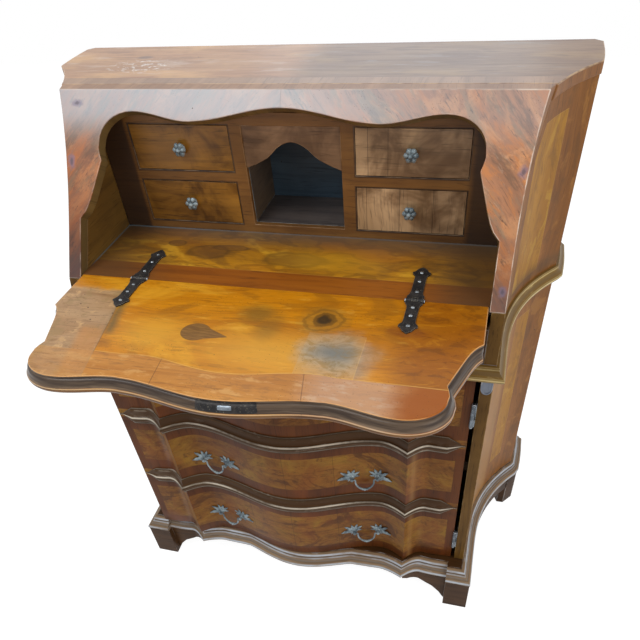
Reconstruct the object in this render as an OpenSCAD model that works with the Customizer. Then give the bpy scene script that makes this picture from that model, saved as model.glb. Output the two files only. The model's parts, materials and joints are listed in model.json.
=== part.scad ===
// Drop-front desk with a shaped walnut case, open fall and one door made to look like three drawers.
// Millimetres, +Z up, +X to the right as seen from the front, -Y towards the sitter.

/* [Case] */
// overall height
total_h = 1000; // [800:1:1200]
// half width at the lower front corners
front_half = 364; // [300:1:460]
// how far each side sweeps outward towards the rear
side_flare = 87; // [20:1:140]
// depth from the front edge of the top board to the rear
top_depth = 236; // [180:1:320]
// width of the two front stiles
stile_w = 20; // [14:1:40]
// how far the lower front stands forward of the foot of the slope
stile_out = 17; // [10:1:30]
// thickness of the side panels
side_t = 18; // [12:1:24]
// thickness of the top board
top_t = 18; // [12:1:26]
// height of the writing surface
bed_z = 760; // [680:1:800]
// thickness of the writing bed
bed_t = 18; // [12:1:24]

/* [Slanted front] */
// angle of the slanted front above the horizontal
slant = 55.34; // [45:0.01:65]
// thickness of the slanted frame
frame_t = 20; // [14:1:28]
// height of the frame above the middle of the opening, measured up the slope
head_rail = 25.4; // [16:0.1:60]
// depth of the waves along the head of the opening
head_wave = 20; // [0:1:30]

/* [Fall board] */
// thickness of the fall board
fall_t = 25; // [18:1:30]
// running gap between the fall's inner leaf and the opening
leaf_gap = 1.5; // [0.8:0.1:3]
// how far the fall's outer lip passes the opening
lip_over = 8; // [4:0.5:12]
// clearance between the lip and the slanted frame
lip_clear = 0.15; // [0:0.05:1]
// distance of the strap hinges in from the side of the opening
strap_inset = 110; // [60:1:180]
// width of the lock plate on the front edge
lock_w = 84; // [50:1:110]
// sideways place of the lock
lock_x = 22; // [-60:1:60]

/* [Door] */
// forward swell of the centre of the door
bulge = 41; // [0:1:60]
// forward reach of the two sharp ridges
ridge = 24; // [0:1:40]
// distance of the ridges from the centre
ridge_x = 236; // [150:1:300]
// thickness of the door
door_t = 22; // [16:1:28]
// gap round the door
door_gap = 2.2; // [1:0.1:4]
// how far the door stands open, in degrees
door_ajar = 3; // [0:0.5:10]
// height of the top field, from the upper dividing moulding to the waist
top_field = 162; // [125:1:195]
// height of the middle field, between the two dividing mouldings
mid_field = 180; // [130:1:200]

/* [Mouldings and feet] */
// underside of the waist moulding, below the writing surface
waist_drop = 118; // [95:1:145]
// height of the waist moulding
waist_h = 29; // [28:1:50]
// underside of the base moulding
base_z = 92; // [60:1:130]
// height of the base moulding
base_h = 34; // [24:1:50]

/* [Gallery] */
// front face of the gallery behind the slant's top edge
gallery_y = 17; // [0:1:60]
// depth of the gallery
gallery_depth = 118; // [80:1:180]
// half width of the pigeonhole
hole_half = 82; // [50:1:110]
// width of the posts beside the pigeonhole
post_w = 23; // [12:1:30]
// width of the gallery's end posts
gallery_side = 57; // [20:1:100]
// height of the gallery's sill above the writing surface
gallery_sill = 15; // [8:1:30]
// height of the rail between the small drawers
gallery_rail = 19; // [10:1:30]
// height of the gallery's head rail
gallery_head = 20; // [10:1:30]
// running gap round the small drawers
drawer_gap = 0.8; // [0.4:0.1:1.5]

/* [Hardware] */
// height of the handle pivots above each field's lower moulding
handle_z = 76; // [50:1:110]
// distance of the handles from the centre
handle_x = 153; // [100:1:220]
// half the distance between the pivots of one handle
bail_half = 25; // [18:1:34]
// radius of the bail wire
bail_r = 2.1; // [1.5:0.1:3]
// running gap of pins in their bores
pin_gap = 0.06; // [0.02:0.01:0.1]

/* [Show] */
// which sub-part to draw

/* [Hidden] */
slope_y = -(total_h - bed_z) / tan(slant);
hinge_y = slope_y + 5.9;
stile_y = slope_y - stile_out;
rebate = (hinge_y - slope_y) * sin(slant) + lip_clear;
reach = 2 * total_h;
panel_y = stile_y + 21;
stile_in = front_half - stile_w;
open_half = stile_in - 3;
flare_y0 = stile_y + 48;
flare_y1 = top_depth - 110;
drawer_out = open_half - gallery_side;
strap_x = open_half - strap_inset;
rear_turn = 71;
rear_out = 4;
rear_y = top_depth - 4;
panel_z = base_z + base_h;
top_z = total_h - top_t;
waist_z = bed_z - waist_drop;
mould_high_z = waist_z - top_field;
mould_low_z = mould_high_z - mid_field;
hinge_up = (bed_z - total_h) * -sin(slant) + -hinge_y * cos(slant);
open_peak = hinge_up - head_rail;
oy = (open_peak + lip_over - hinge_y - top_depth) / 2;
foot_y = -hinge_up * cos(slant);
foot_z = total_h - hinge_up * sin(slant);
waist_top = waist_z + waist_h;
hinge_x = stile_in - 5.5;
door_axis_y = stile_y - 4;
door_half = hinge_x - 2;
door_z0 = panel_z + door_gap;
door_z1 = waist_z - door_gap;
loper_x = open_half - 69;
loper_w = 20;
loper_h = 44;
loper_out = 140;
fall_z = bed_z - fall_t;
gal_top = top_z - 20;
gal_z0 = bed_z + gallery_sill;
gal_z3 = gal_top - gallery_head;
drawer_h = (gal_z3 - gal_z0 - gallery_rail) / 2;
gal_z1 = gal_z0 + drawer_h;
gal_z2 = gal_z1 + gallery_rail;
post_out = hole_half + post_w;
door_hinge_zs = [562, 200];
knuckle_r = 4.6;
bed_nail_ds = [21, 50, 75];
fall_nail_ds = [21, 42, 67];
strap_t = 2.4;

walnut = [0.42, 0.24, 0.12];
dark = [0.27, 0.14, 0.07];
golden = [0.66, 0.42, 0.16];
inner = [0.38, 0.27, 0.14];
iron = [0.1, 0.1, 0.1];
pewter = [0.48, 0.52, 0.55];

// plan curves

function side_x(y) =
    y < flare_y0 ? front_half
    : y < flare_y1 ? front_half + side_flare * pow((y - flare_y0) / (flare_y1 - flare_y0), 2.6)
    : front_half + side_flare + rear_out * sin(90 * min(1, (y - flare_y1) / rear_turn));

function side_n(y) =
    let (s = (side_x(y + 1.5) - side_x(y - 1.5)) / 3, l = sqrt(1 + s * s)) [1 / l, -s / l];

function side_ys(y1, y2) =
    let (all = concat([for (i = [0:32]) flare_y0 + i * (flare_y1 - flare_y0) / 32],
        [for (i = [1:5]) flare_y1 + i * rear_turn / 5]))
    concat([y1], [for (y = all) if (y > y1 + 2 && y < y2 - 2) y], [y2]);

// outward offsets follow the true normal, inward ones keep their wall thickness without folding at the corner
function side_point(y, o) =
    o > 0 ? [side_x(y), y] + o * side_n(y) : [side_x(y) + o / side_n(y)[0], y];

function side_path(y1, y2, o) = [for (y = side_ys(y1, y2)) side_point(y, o)];

function rev(v) = [for (i = [len(v) - 1:-1:0]) v[i]];

function mir(v) = [for (p = v) [-p[0], p[1]]];

module side_band(y1, y2, o1, o2, z1, z2) {
    translate([0, 0, z1])
        linear_extrude(z2 - z1)
            polygon(concat(side_path(y1, y2, o1), rev(side_path(y1, y2, o2))));
}

module plan_slab(y1, y2, o, z1, z2) {
    p = side_path(y1, y2, o);
    translate([0, 0, z1])
        linear_extrude(z2 - z1)
            polygon(concat(p, rev(mir(p))));
}

trough_x = ridge_x - 51;
outer_x = ridge_x + 38;

function front_y(x) =
    let (a = abs(x))
    a < trough_x ? stile_y + 1 - bulge * (1 + cos(180 * a / trough_x)) / 2
    : a < ridge_x ? stile_y + 1 - (ridge - 1) * pow((a - trough_x) / (ridge_x - trough_x), 1.6)
    : a < outer_x ? stile_y + 2 - ridge * (1 - sin(90 * (a - ridge_x) / (outer_x - ridge_x)))
    : stile_y + 2 - 2 * sin(90 * min(1, (a - outer_x) / 30));

function ridge_xs(h) =
    let (s = trough_x / 18, r = (ridge_x - trough_x) / 6, q = (outer_x - ridge_x) / 6)
    let (half = concat([for (i = [0:18]) i * s], [for (i = [1:6]) trough_x + i * r],
        [for (i = [1:6]) ridge_x + i * q], [for (i = [1:3]) outer_x + i * 10]))
    let (cut = concat([for (x = half) if (x < h - 1) x], [h]))
    concat([for (x = rev(cut)) if (x > 0) -x], cut);

function front_path(h, o) = [for (x = ridge_xs(h)) [x, front_y(x) - o]];

module front_slab(h, o1, o2, z1, z2) {
    translate([0, 0, z1])
        linear_extrude(z2 - z1)
            polygon(concat(front_path(h, o1), rev(front_path(h, o2))));
}

// a profile of [out, z] points carried along points that each have their own outward vector
module carried(pts, outs, prof) {
    n = len(prof);
    k = len(pts);
    verts = [for (i = [0:k - 1]) for (q = prof)
        [pts[i][0] + outs[i][0] * q[0], pts[i][1] + outs[i][1] * q[0], q[1]]];
    walls = [for (i = [0:k - 2]) for (j = [0:n - 1])
        [i * n + j, i * n + (j + 1) % n, (i + 1) * n + (j + 1) % n, (i + 1) * n + j]];
    ends = [[for (j = [n - 1:-1:0]) j], [for (j = [0:n - 1]) (k - 1) * n + j]];
    polyhedron(verts, concat(walls, ends), convexity = 8);
}

function round_pts(front) =
    let (s = side_ys(front, rear_y))
    [for (y = s) [side_x(y), y]];

function round_outs(front) =
    [for (y = side_ys(front, rear_y)) y == front ? [1, -1] : side_n(y)];

module wrap(prof, front, mid_pts) {
    s = round_pts(front);
    o = round_outs(front);
    pts = concat(rev(mir(s)), mid_pts, s);
    outs = concat(rev(mir(o)), [for (p = mid_pts) [0, -1]], o);
    carried(pts, outs, prof);
}

// outline of the slanted opening, shared by the frame and the fall

corner_d = open_peak - 6.5;
corner_x = open_half - 93;
corner_rx = 58;
corner_rd = 46;
mid_x = open_half - 39;
mid_d = open_peak - 80;
low_d = open_peak - 172;
wave_x = 150;

function opening_half() = concat(
    [[open_half, 0], [open_half, low_d - 2]],
    [for (i = [0:8]) let (t = 1 - i / 8)
        [mid_x + (open_half - mid_x) * (0.75 * t + 0.25 * pow(t, 8)), mid_d + (low_d - mid_d) * t]],
    [[mid_x + 3, mid_d + 9], [mid_x + 5, mid_d + 19]],
    [for (a = [90:-11.25:11]) [corner_x + corner_rx * sin(a), corner_d - corner_rd * (1 - cos(a))]],
    [for (i = [0:10]) let (x = corner_x - (corner_x - wave_x) * i / 10)
        [x, corner_d - 7 + 7 * cos(18 * i)]],
    [for (i = [1:12]) let (x = wave_x - wave_x * i / 12)
        [x, open_peak - head_wave / 2 + head_wave / 2 * cos(180 * x / wave_x)]]);

function unit(v) = v / max(norm(v), 0.0001);

function miter(p, i) =
    let (n = len(p))
    i == 0 ? [1, 0]
    : i == n - 1 ? [0, 1]
    : let (a = unit(p[i] - p[i - 1]), b = unit(p[i + 1] - p[i]), na = [a[1], -a[0]], nb = [b[1], -b[0]])
        (na + nb) / (1 + na * nb + 0.15);

function opening_full(o, o_low) =
    let (h = opening_half())
    let (r = [for (i = [0:len(h) - 1]) h[i] + miter(h, i) * (i < 2 ? o_low : o)])
    let (l = [for (i = [len(r) - 2:-1:0]) [-r[i][0], r[i][1]]])
    concat(r, l);

module on_slant() {
    translate([0, foot_y, foot_z])
        rotate([slant, 0, 0])
            children();
}

// case

module case_place() {
    translate([0, oy, 0])
        children();
}

module side_panel() {
    color(walnut)
        difference() {
            side_band(panel_y, rear_y, 0, -side_t, panel_z, top_z);
            on_slant()
                translate([-reach, -8, -frame_t])
                    cube([2 * reach, reach, reach]);
        }
}

module side_right() {
    case_place() side_panel();
}

module side_left() {
    case_place() mirror([1, 0, 0]) side_panel();
}

module top_board() {
    case_place() color(walnut)
        difference() {
            p = concat(side_path(-16, rear_y - 8, 2), [[side_x(rear_y) - 10, top_depth]]);
            translate([0, 0, top_z])
                linear_extrude(top_t)
                    polygon(concat(p, rev(mir(p))));
            on_slant()
                translate([-reach, 0, -frame_t])
                    cube([2 * reach, reach, reach]);
        }
}

module back_panel() {
    case_place() color(dark)
        translate([-side_x(rear_y) + side_t + 0.5, rear_y - 12, panel_z])
            cube([2 * (side_x(rear_y) - side_t - 0.5), 9, top_z - panel_z]);
}

module slant_frame() {
    case_place() color(walnut)
        intersection() {
            on_slant()
                translate([0, 0, -frame_t])
                    linear_extrude(frame_t)
                        difference() {
                            translate([-reach, -8])
                                square([2 * reach, reach]);
                            polygon(opening_full(0, 0));
                            translate([-open_half, -20])
                                square([2 * open_half, 21]);
                        }
            plan_slab(slope_y - 40, flare_y1 / 2, 0, bed_z - 40, total_h);
        }
}

module stile() {
    color(golden)
        translate([stile_in, stile_y, panel_z])
            cube([front_half - stile_in, panel_y - stile_y, waist_z - panel_z]);
}

module stiles() {
    case_place() {
        stile();
        mirror([1, 0, 0]) stile();
    }
}

module stile_foot() {
    y1 = foot_y - 8 * cos(slant);
    z1 = foot_z - 8 * sin(slant);
    sweep = [for (i = [0:8]) let (t = i / 8)
        [stile_y + (y1 - stile_y) * (0.25 * t + 0.75 * t * t), waist_top + (z1 - waist_top) * t]];
    back = z1 - (panel_y - y1) / tan(slant);
    color(walnut)
        translate([stile_in, 0, 0])
            rotate([90, 0, 90])
                linear_extrude(front_half - stile_in)
                    polygon(concat([[panel_y, waist_top]], sweep, [[panel_y, back]]));
}

module stile_feet() {
    case_place() {
        stile_foot();
        mirror([1, 0, 0]) stile_foot();
    }
}

module drop_outline(inset) {
    half = (front_half - stile_in) / 2 - 0.5 - inset;
    translate([-half, -16])
        square([2 * half, 15.7]);
    translate([0, -16])
        scale([1, 1.4])
            circle(r = half, $fn = 40);
}

module corner_drop() {
    color(pewter)
        translate([(stile_in + front_half) / 2, stile_y, waist_z])
            rotate([90, 0, 0])
                difference() {
                    linear_extrude(4.5)
                        drop_outline(0);
                    translate([0, 0, 3.3])
                        linear_extrude(4)
                            intersection() {
                                drop_outline(1.6);
                                translate([-20, -60])
                                    square([40, 58.2]);
                            }
                }
}

module corner_drops() {
    case_place() {
        corner_drop();
        mirror([1, 0, 0]) corner_drop();
    }
}

module waist_rail() {
    h = stile_in - 7;
    case_place() color(dark)
        translate([0, 0, waist_z])
            linear_extrude(waist_h)
                polygon(concat([[-front_half, stile_y]], front_path(h, 0), [[front_half, stile_y]],
                    [[front_half, panel_y], [front_half - side_t - 0.2, panel_y],
                     [front_half - side_t - 0.2, panel_y + 12], [-front_half + side_t + 0.2, panel_y + 12],
                     [-front_half + side_t + 0.2, panel_y], [-front_half, panel_y]]));
}

module waist_moulding() {
    prof = [[0, waist_z], [7, waist_z + 0.6], [11, waist_z + 2.2], [13.6, waist_z + 4.6],
        [15.2, waist_z + 8], [15, waist_z + 11], [13, waist_z + 12.6], [11.6, waist_z + 13.4],
        [8, waist_z + 16.5], [5.6, waist_z + 20], [4.4, waist_z + 23.5], [5, waist_z + 25.4],
        [4.4, waist_z + 27.6], [0, waist_z + 28]];
    h = stile_in - 7;
    case_place() color(dark)
        wrap(prof, stile_y, front_path(h, 0));
}

module fascia() {
    case_place() color(dark)
        difference() {
            translate([-stile_in, stile_y + 1, waist_top])
                cube([2 * stile_in, 21, fall_z - 0.8 - waist_top]);
            for (s = [-1, 1])
                translate([s * loper_x - loper_w / 2 - 0.5, stile_y - 5, fall_z - 0.6 - loper_h])
                    cube([loper_w + 1, 40, loper_h + 5]);
        }
}

module desk_bed() {
    p = side_path(panel_y + 1.4, rear_y - 12, -side_t);
    case_place() color(inner)
        difference() {
            translate([0, 0, bed_z - bed_t])
                linear_extrude(bed_t)
                    polygon(concat(p, rev(mir(p))));
            for (s = [-1, 1])
                translate([s * strap_x - 15, hinge_y, bed_z])
                    rotate([0, 90, 0])
                        cylinder(r = knuckle_r + 0.6, h = 30, $fn = 32);
            translate([-reach, hinge_y - reach, bed_z - reach / 2])
                cube([2 * reach, reach + 0.3, reach]);
            for (s = [-1, 1])
                scale([s, 1, 1])
                    on_slant()
                        translate([open_half - 0.3, -60, -frame_t - 0.3])
                            cube([reach, reach, reach]);
            nail_holes(1, bed_nail_ds);
        }
}

module inner_cheek() {
    back = gallery_y;
    color(inner)
        difference() {
            translate([open_half, hinge_y + 2, bed_z])
                cube([4.5, back - hinge_y - 2, top_z - bed_z]);
            on_slant()
                translate([-reach, -60, -frame_t])
                    cube([2 * reach, reach, reach]);
        }
}

module inner_cheeks() {
    case_place() {
        inner_cheek();
        mirror([1, 0, 0]) inner_cheek();
    }
}

module cupboard_floor() {
    p = side_path(panel_y + 8, rear_y - 12, -side_t);
    case_place() color(inner)
        translate([0, 0, panel_z])
            linear_extrude(13)
                polygon(concat(p, rev(mir(p))));
}

shelf_z = 372;

module cupboard_shelf() {
    p = side_path(panel_y + 30, rear_y - 12, -side_t);
    case_place() color(inner)
        translate([0, 0, shelf_z])
            linear_extrude(14)
                polygon(concat(p, rev(mir(p))));
}

module shelf_cleats() {
    case_place() color(inner) {
        side_band(panel_y + 34, rear_y - 16, -side_t, -side_t - 14, shelf_z - 16, shelf_z);
        mirror([1, 0, 0])
            side_band(panel_y + 34, rear_y - 16, -side_t, -side_t - 14, shelf_z - 16, shelf_z);
    }
}

// base

base_front = stile_y - 24;
block_in = stile_in - 11;

function base_fill(x) = abs(x) < 120 || abs(x) > ridge_x ? 0 : 9 * sin(180 * (abs(x) - 120) / (ridge_x - 120));

function base_mid() = concat([[-block_in, base_front]],
    [for (p = front_path(block_in - 0.1, 12)) p - [0, base_fill(p[0])]], [[block_in, base_front]]);

module base_frame() {
    s = round_pts(base_front);
    in = side_path(panel_y + 20, rear_y - 40, -side_t - 26);
    case_place() color(dark)
        translate([0, 0, base_z])
            linear_extrude(base_h)
                difference() {
                    polygon(concat(rev(mir(s)), base_mid(), s));
                    polygon(concat(in, rev(mir(in))));
                }
}

module base_moulding() {
    prof = [[0, base_z], [18, base_z], [21, base_z + 2], [22.4, base_z + 6], [21.4, base_z + 10],
        [18, base_z + 12.5], [14.5, base_z + 13.5], [14, base_z + 17], [8.5, base_z + 19],
        [6.8, base_z + 21.5], [8.2, base_z + 24.5], [7.2, base_z + 28], [4.2, base_z + 30.5],
        [0, base_z + 31]];
    case_place() color(dark)
        wrap(prof, base_front, base_mid());
}

bracket_y = base_front + 117;

module foot_front() {
    z = base_z;
    wing = [[block_in + 2, 0], [block_in - 4, 0.09 * z], [block_in - 12, 0.26 * z], [block_in - 29, 0.48 * z],
        [block_in - 61, 0.685 * z], [block_in - 84, 0.78 * z], [block_in - 94, 0.91 * z], [block_in - 94, z],
        [block_in + 2, z]];
    side = [[base_front, 0], [base_front + 44, 0], [base_front + 52, 0.24 * z], [base_front + 68, 0.48 * z],
        [base_front + 90, 0.63 * z], [bracket_y, 0.65 * z], [bracket_y, z], [base_front, z]];
    color(dark) {
        translate([block_in, base_front - 20, 0])
            cube([front_half + 21 - block_in, 62, z]);
        intersection() {
            translate([0, base_front + 57, 0])
                rotate([90, 0, 0])
                    linear_extrude(140)
                        polygon(wing);
            front_slab(block_in + 3, 30, 10, 0, z);
        }
        intersection() {
            side_band(base_front + 30, bracket_y, 20, 4, 0, z);
            rotate([90, 0, 90])
                linear_extrude(2 * front_half)
                    polygon(side);
        }
    }
}

module foot_front_right() {
    case_place() foot_front();
}

module foot_front_left() {
    case_place() mirror([1, 0, 0]) foot_front();
}

rear_foot_y = flare_y1 - 21;

module foot_rear() {
    p = side_path(rear_foot_y, rear_y, 20);
    in = side_x(rear_y) - 45;
    color(dark)
        linear_extrude(base_z)
            polygon(concat(p, [[in, rear_y], [in, rear_foot_y + 40], [p[0][0] - 16, p[0][1]]]));
}

module foot_rear_right() {
    case_place() foot_rear();
}

module foot_rear_left() {
    case_place() mirror([1, 0, 0]) foot_rear();
}

module side_apron() {
    end = rear_foot_y - 16;
    color(dark)
        intersection() {
            side_band(bracket_y - 10, rear_foot_y + 16, 20, 4, 0.65 * base_z, base_z);
            rotate([90, 0, 90])
                linear_extrude(2 * front_half)
                    polygon([[bracket_y, base_z], [bracket_y, 0.65 * base_z], [bracket_y + 30, 0.71 * base_z],
                        [end - 34, 0.71 * base_z], [end, 0.65 * base_z], [end, base_z]]);
        }
}

module side_aprons() {
    case_place() {
        side_apron();
        mirror([1, 0, 0]) side_apron();
    }
}

// loper pair that carries the open fall

module loper(s) {
    case_place() {
        color(walnut)
            translate([s * loper_x - loper_w / 2, stile_y - loper_out, fall_z - 0.3 - loper_h])
                cube([loper_w, 300, loper_h]);
        color(pewter)
            translate([s * loper_x, stile_y - loper_out, fall_z - 22])
                rotate([90, 0, 0])
                    rotate_extrude($fn = 32)
                        polygon([[0, 0], [4, 0], [3, 4], [6.5, 8], [6.5, 11], [4, 14], [0, 15]]);
    }
}

module loper_left() {
    loper(-1);
}

module loper_right() {
    loper(1);
}

module loper_guides() {
    y0 = hinge_y + 2;
    board = 6;
    p = side_path(panel_y + 12, rear_y - 12, -side_t);
    case_place() color(inner) {
        translate([0, 0, waist_top])
            linear_extrude(board)
                polygon(concat(p, rev(mir(p))));
        for (s = [-1, 1])
            translate([s * loper_x, y0, 0])
                difference() {
                    translate([-loper_w / 2 - 10, 0, waist_top + board - 0.5])
                        cube([loper_w + 20, 282, bed_z - bed_t - waist_top - board + 0.5]);
                    translate([-loper_w / 2 - 0.5, -5, fall_z - 0.6 - loper_h])
                        cube([loper_w + 1, 292, loper_h + 0.8]);
                    translate([-40, -1, waist_top - 1])
                        cube([80, 13, board + 0.5]);
                }
    }
}

// gallery

module gallery_face() {
    case_place() color(inner)
        translate([0, gallery_y + 10, 0])
            rotate([90, 0, 0])
                linear_extrude(10)
                    difference() {
                        translate([-open_half + 0.3, bed_z])
                            square([2 * open_half - 0.6, gal_top - bed_z]);
                        for (s = [-1, 1])
                            for (z = [gal_z0, gal_z2])
                                translate([s > 0 ? post_out : -drawer_out, z])
                                    square([drawer_out - post_out, drawer_h]);
                        translate([-hole_half, gal_z0])
                            square([2 * hole_half, gal_z3 - gal_z0]);
                    }
}

module gallery_floor() {
    case_place() color(inner)
        translate([-open_half + 0.3, gallery_y + 10, bed_z])
            cube([2 * open_half - 0.6, gallery_depth - 10, gal_z0 - bed_z]);
}

module gallery_top() {
    case_place() color(inner)
        translate([-open_half + 0.3, gallery_y + 10, gal_z3])
            cube([2 * open_half - 0.6, gallery_depth - 10, 8]);
}

module gallery_back() {
    case_place() color(inner)
        translate([-open_half + 0.3, gallery_y + gallery_depth, bed_z])
            cube([2 * open_half - 0.6, 6, gal_top - bed_z]);
}

module gallery_partitions() {
    case_place() color(inner)
        for (s = [-1, 1]) {
            translate([s * (hole_half + post_w / 2) - post_w / 2, gallery_y + 10, gal_z0])
                cube([post_w, gallery_depth - 10, gal_z3 - gal_z0]);
            translate([s * (drawer_out + 4) - 4, gallery_y + 10, gal_z0])
                cube([8, gallery_depth - 10, gal_z3 - gal_z0]);
            translate([s > 0 ? post_out - 1 : -drawer_out - 1, gallery_y + 10, gal_z1 + 5])
                cube([drawer_out - post_out + 2, gallery_depth - 10, gal_z2 - gal_z1 - 5]);
        }
}

module gallery_valance() {
    w = hole_half;
    half = [for (q = [[66, 10], [55, 15], [45, 20], [36, 27], [27, 36], [16, 43], [7, 46], [0, 47]])
        [q[0], gal_z3 - 72 + q[1]]];
    case_place() color(inner)
        translate([0, gallery_y + 9, 0])
            rotate([90, 0, 0])
                linear_extrude(7)
                    polygon(concat([[-w, gal_z3], [-w, gal_z3 - 68]], mir(half), rev([for (i = [0:6]) half[i]]),
                        [[w, gal_z3 - 68], [w, gal_z3]]));
}

module drawer_place(s, top) {
    case_place()
        translate([s > 0 ? post_out : -drawer_out, gallery_y, top ? gal_z2 : gal_z0])
            children();
}

module drawer(s, top) {
    w = drawer_out - post_out;
    bw = w - 2 * drawer_gap - 1;
    d = gallery_depth - 24;
    drawer_place(s, top) {
        color(golden)
            difference() {
                translate([drawer_gap, 0.6, drawer_gap])
                    cube([w - 2 * drawer_gap, 11, drawer_h - 2 * drawer_gap]);
                translate([w / 2, 5, drawer_h / 2])
                    rotate([90, 0, 0])
                        cylinder(r = 2.5, h = 9, $fn = 32);
            }
        color(inner)
            translate([drawer_gap + 0.5, 11, drawer_gap - 0.5])
                difference() {
                    cube([bw, d, drawer_h - 14]);
                    translate([5, 0.6, 4])
                        cube([bw - 10, d - 5.6, drawer_h]);
                }
    }
}

module drawer_knob(s, top) {
    w = drawer_out - post_out;
    drawer_place(s, top)
        color(pewter)
            translate([w / 2, 0.6, drawer_h / 2])
                rotate([90, 0, 0])
                    rotate_extrude($fn = 40)
                        polygon([[0, -4], [2.4, -4], [2.4, 0], [6, 0], [4.2, 3], [4, 7], [8.5, 9.5],
                            [10.5, 12], [8, 15], [4, 17.5], [0, 18]]);
}

module drawer_tl() {
    drawer(-1, true);
}

module drawer_bl() {
    drawer(-1, false);
}

module drawer_tr() {
    drawer(1, true);
}

module drawer_br() {
    drawer(1, false);
}

module drawer_tl_knob() {
    drawer_knob(-1, true);
}

module drawer_bl_knob() {
    drawer_knob(-1, false);
}

module drawer_tr_knob() {
    drawer_knob(1, true);
}

module drawer_br_knob() {
    drawer_knob(1, false);
}

// fall board

module fall_layer(o, z1, z2) {
    pts = [for (q = opening_full(o, -leaf_gap)) [q[0], hinge_y - max(q[1], 0.5)]];
    translate([0, 0, z1])
        linear_extrude(z2 - z1)
            polygon(pts);
}

// part of the leaf's edge between x0 and x1, from d0 up the leaf outwards
module edge_slice(o, x0, x1, d0, z0, z1) {
    intersection() {
        fall_layer(o, z0, z1);
        translate([x0, hinge_y - reach, z0])
            cube([x1 - x0, reach - d0, z1 - z0]);
    }
}

lock_z0 = fall_z + 9;
lock_z1 = bed_z - 0.5;
lock_t = 2;
lock_box_w = 44;
lock_box_d = 24;
bolt_w = 18;

module lock_room() {
    g = 0.1;
    difference() {
        translate([lock_x - lock_w / 2 - g, hinge_y - reach, lock_z0 - g])
            cube([lock_w + 2 * g, reach - low_d, 40]);
        fall_layer(-leaf_gap - lock_t - g, lock_z0 - 1, bed_z + 1);
    }
    edge_slice(0, lock_x - lock_box_w / 2 - g, lock_x + lock_box_w / 2 + g,
        open_peak - lock_box_d - g, lock_z0 - 1.5 - g, lock_z1 - 4 + g);
}

module fall_board() {
    z = bed_z;
    b = z - rebate;
    case_place() color(golden)
        difference() {
            union() {
                fall_layer(-leaf_gap, b, z);
                fall_layer(3, b - 5.4, b);
                fall_layer(4.2, b - 8.4, b - 5.4);
                fall_layer(6.2, b - 11.4, b - 8.4);
                fall_layer(lip_over, fall_z + 2, b - 11.4);
                fall_layer(lip_over - 1.2, fall_z, fall_z + 2);
            }
            for (s = [-1, 1])
                translate([s * strap_x - 15, hinge_y, z])
                    rotate([0, 90, 0])
                        cylinder(r = knuckle_r + 0.6, h = 30, $fn = 32);
            nail_holes(-1, fall_nail_ds);
            lock_room();
        }
}

module fall_lock() {
    case_place() color(iron) {
        difference() {
            edge_slice(-leaf_gap, lock_x - lock_w / 2, lock_x + lock_w / 2, low_d, lock_z0, lock_z1);
            fall_layer(-leaf_gap - lock_t, lock_z0 - 1, lock_z1 + 1);
        }
        edge_slice(-leaf_gap - 1, lock_x - lock_box_w / 2, lock_x + lock_box_w / 2,
            open_peak - lock_box_d, lock_z0 - 1.5, lock_z1 - 4);
        difference() {
            edge_slice(-leaf_gap + 0.8, lock_x - bolt_w / 2, lock_x + bolt_w / 2, low_d, lock_z1 - 8.5, lock_z1 - 2);
            fall_layer(-leaf_gap - 1, lock_z0, lock_z1);
        }
    }
}

// leaf outline with a flared spear end, y running away from the joint
function strap_half(l) = [[13, 5.4], [13, 10], [10.4, 14], [9.2, 22], [9, l - 32], [9.8, l - 25], [13.5, l - 20],
    [14.5, l - 16], [10.6, l - 13], [7, l - 6], [0, l]];

module strap_plate(l) {
    h = strap_half(l);
    difference() {
        union() {
            linear_extrude(strap_t)
                polygon(concat(h, rev(mir(h))));
            translate([-13, 3.4, 0])
                cube([26, 3, strap_t]);
        }
        for (y = [21, l - 42, l - 17])
            translate([0, y, -1])
                cylinder(r = 2.1, h = 5, $fn = 24);
    }
}

module strap_knuckles(spans) {
    for (q = spans)
        translate([q[0], 0, 0])
            rotate([0, 90, 0])
                difference() {
                    cylinder(r = knuckle_r, h = q[1] - q[0], $fn = 40);
                    translate([0, 0, -1])
                        cylinder(r = 2 + pin_gap, h = q[1] - q[0] + 2, $fn = 40);
                }
}

module bed_strap(s) {
    translate([s * strap_x, hinge_y, bed_z]) {
        difference() {
            union() {
                strap_plate(92);
                for (q = [[-13, -4.6], [4.6, 13]])
                    translate([q[0], 2.6, 0])
                        cube([q[1] - q[0], 3, strap_t]);
            }
            translate([-4.9, -1, -5])
                cube([9.8, 6.3, 12]);
        }
        strap_knuckles([[-13, -4.6], [4.6, 13]]);
    }
}

module fall_strap(s) {
    translate([s * strap_x, hinge_y, bed_z])
        mirror([0, 1, 0]) {
            difference() {
                union() {
                    strap_plate(84);
                    translate([-4.3, 2.6, 0])
                        cube([8.6, 4, strap_t]);
                }
                for (q = [[-14, -4.3], [4.3, 14]])
                    translate([q[0], -1, -5])
                        cube([q[1] - q[0], 6.3, 12]);
            }
            strap_knuckles([[-4.3, 4.3]]);
        }
}

module bed_straps() {
    case_place() color(iron) {
        bed_strap(-1);
        bed_strap(1);
    }
}

module fall_straps() {
    case_place() color(iron) {
        fall_strap(-1);
        fall_strap(1);
    }
}

module strap_pins() {
    case_place() color(iron)
        for (s = [-1, 1])
            translate([s * strap_x - 14, hinge_y, bed_z])
                rotate([0, 90, 0]) {
                    cylinder(r = 2, h = 28, $fn = 40);
                    translate([0, 0, -1])
                        cylinder(r = 3.2, h = 1.9, $fn = 40);
                    translate([0, 0, 27.1])
                        cylinder(r = 3.2, h = 1.9, $fn = 40);
                }
}

module nail_holes(dir, ds) {
    for (s = [-1, 1])
        for (d = ds)
            translate([s * strap_x, hinge_y + dir * d, bed_z - 9])
                cylinder(r = 1.8, h = 12, $fn = 24);
}

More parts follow.
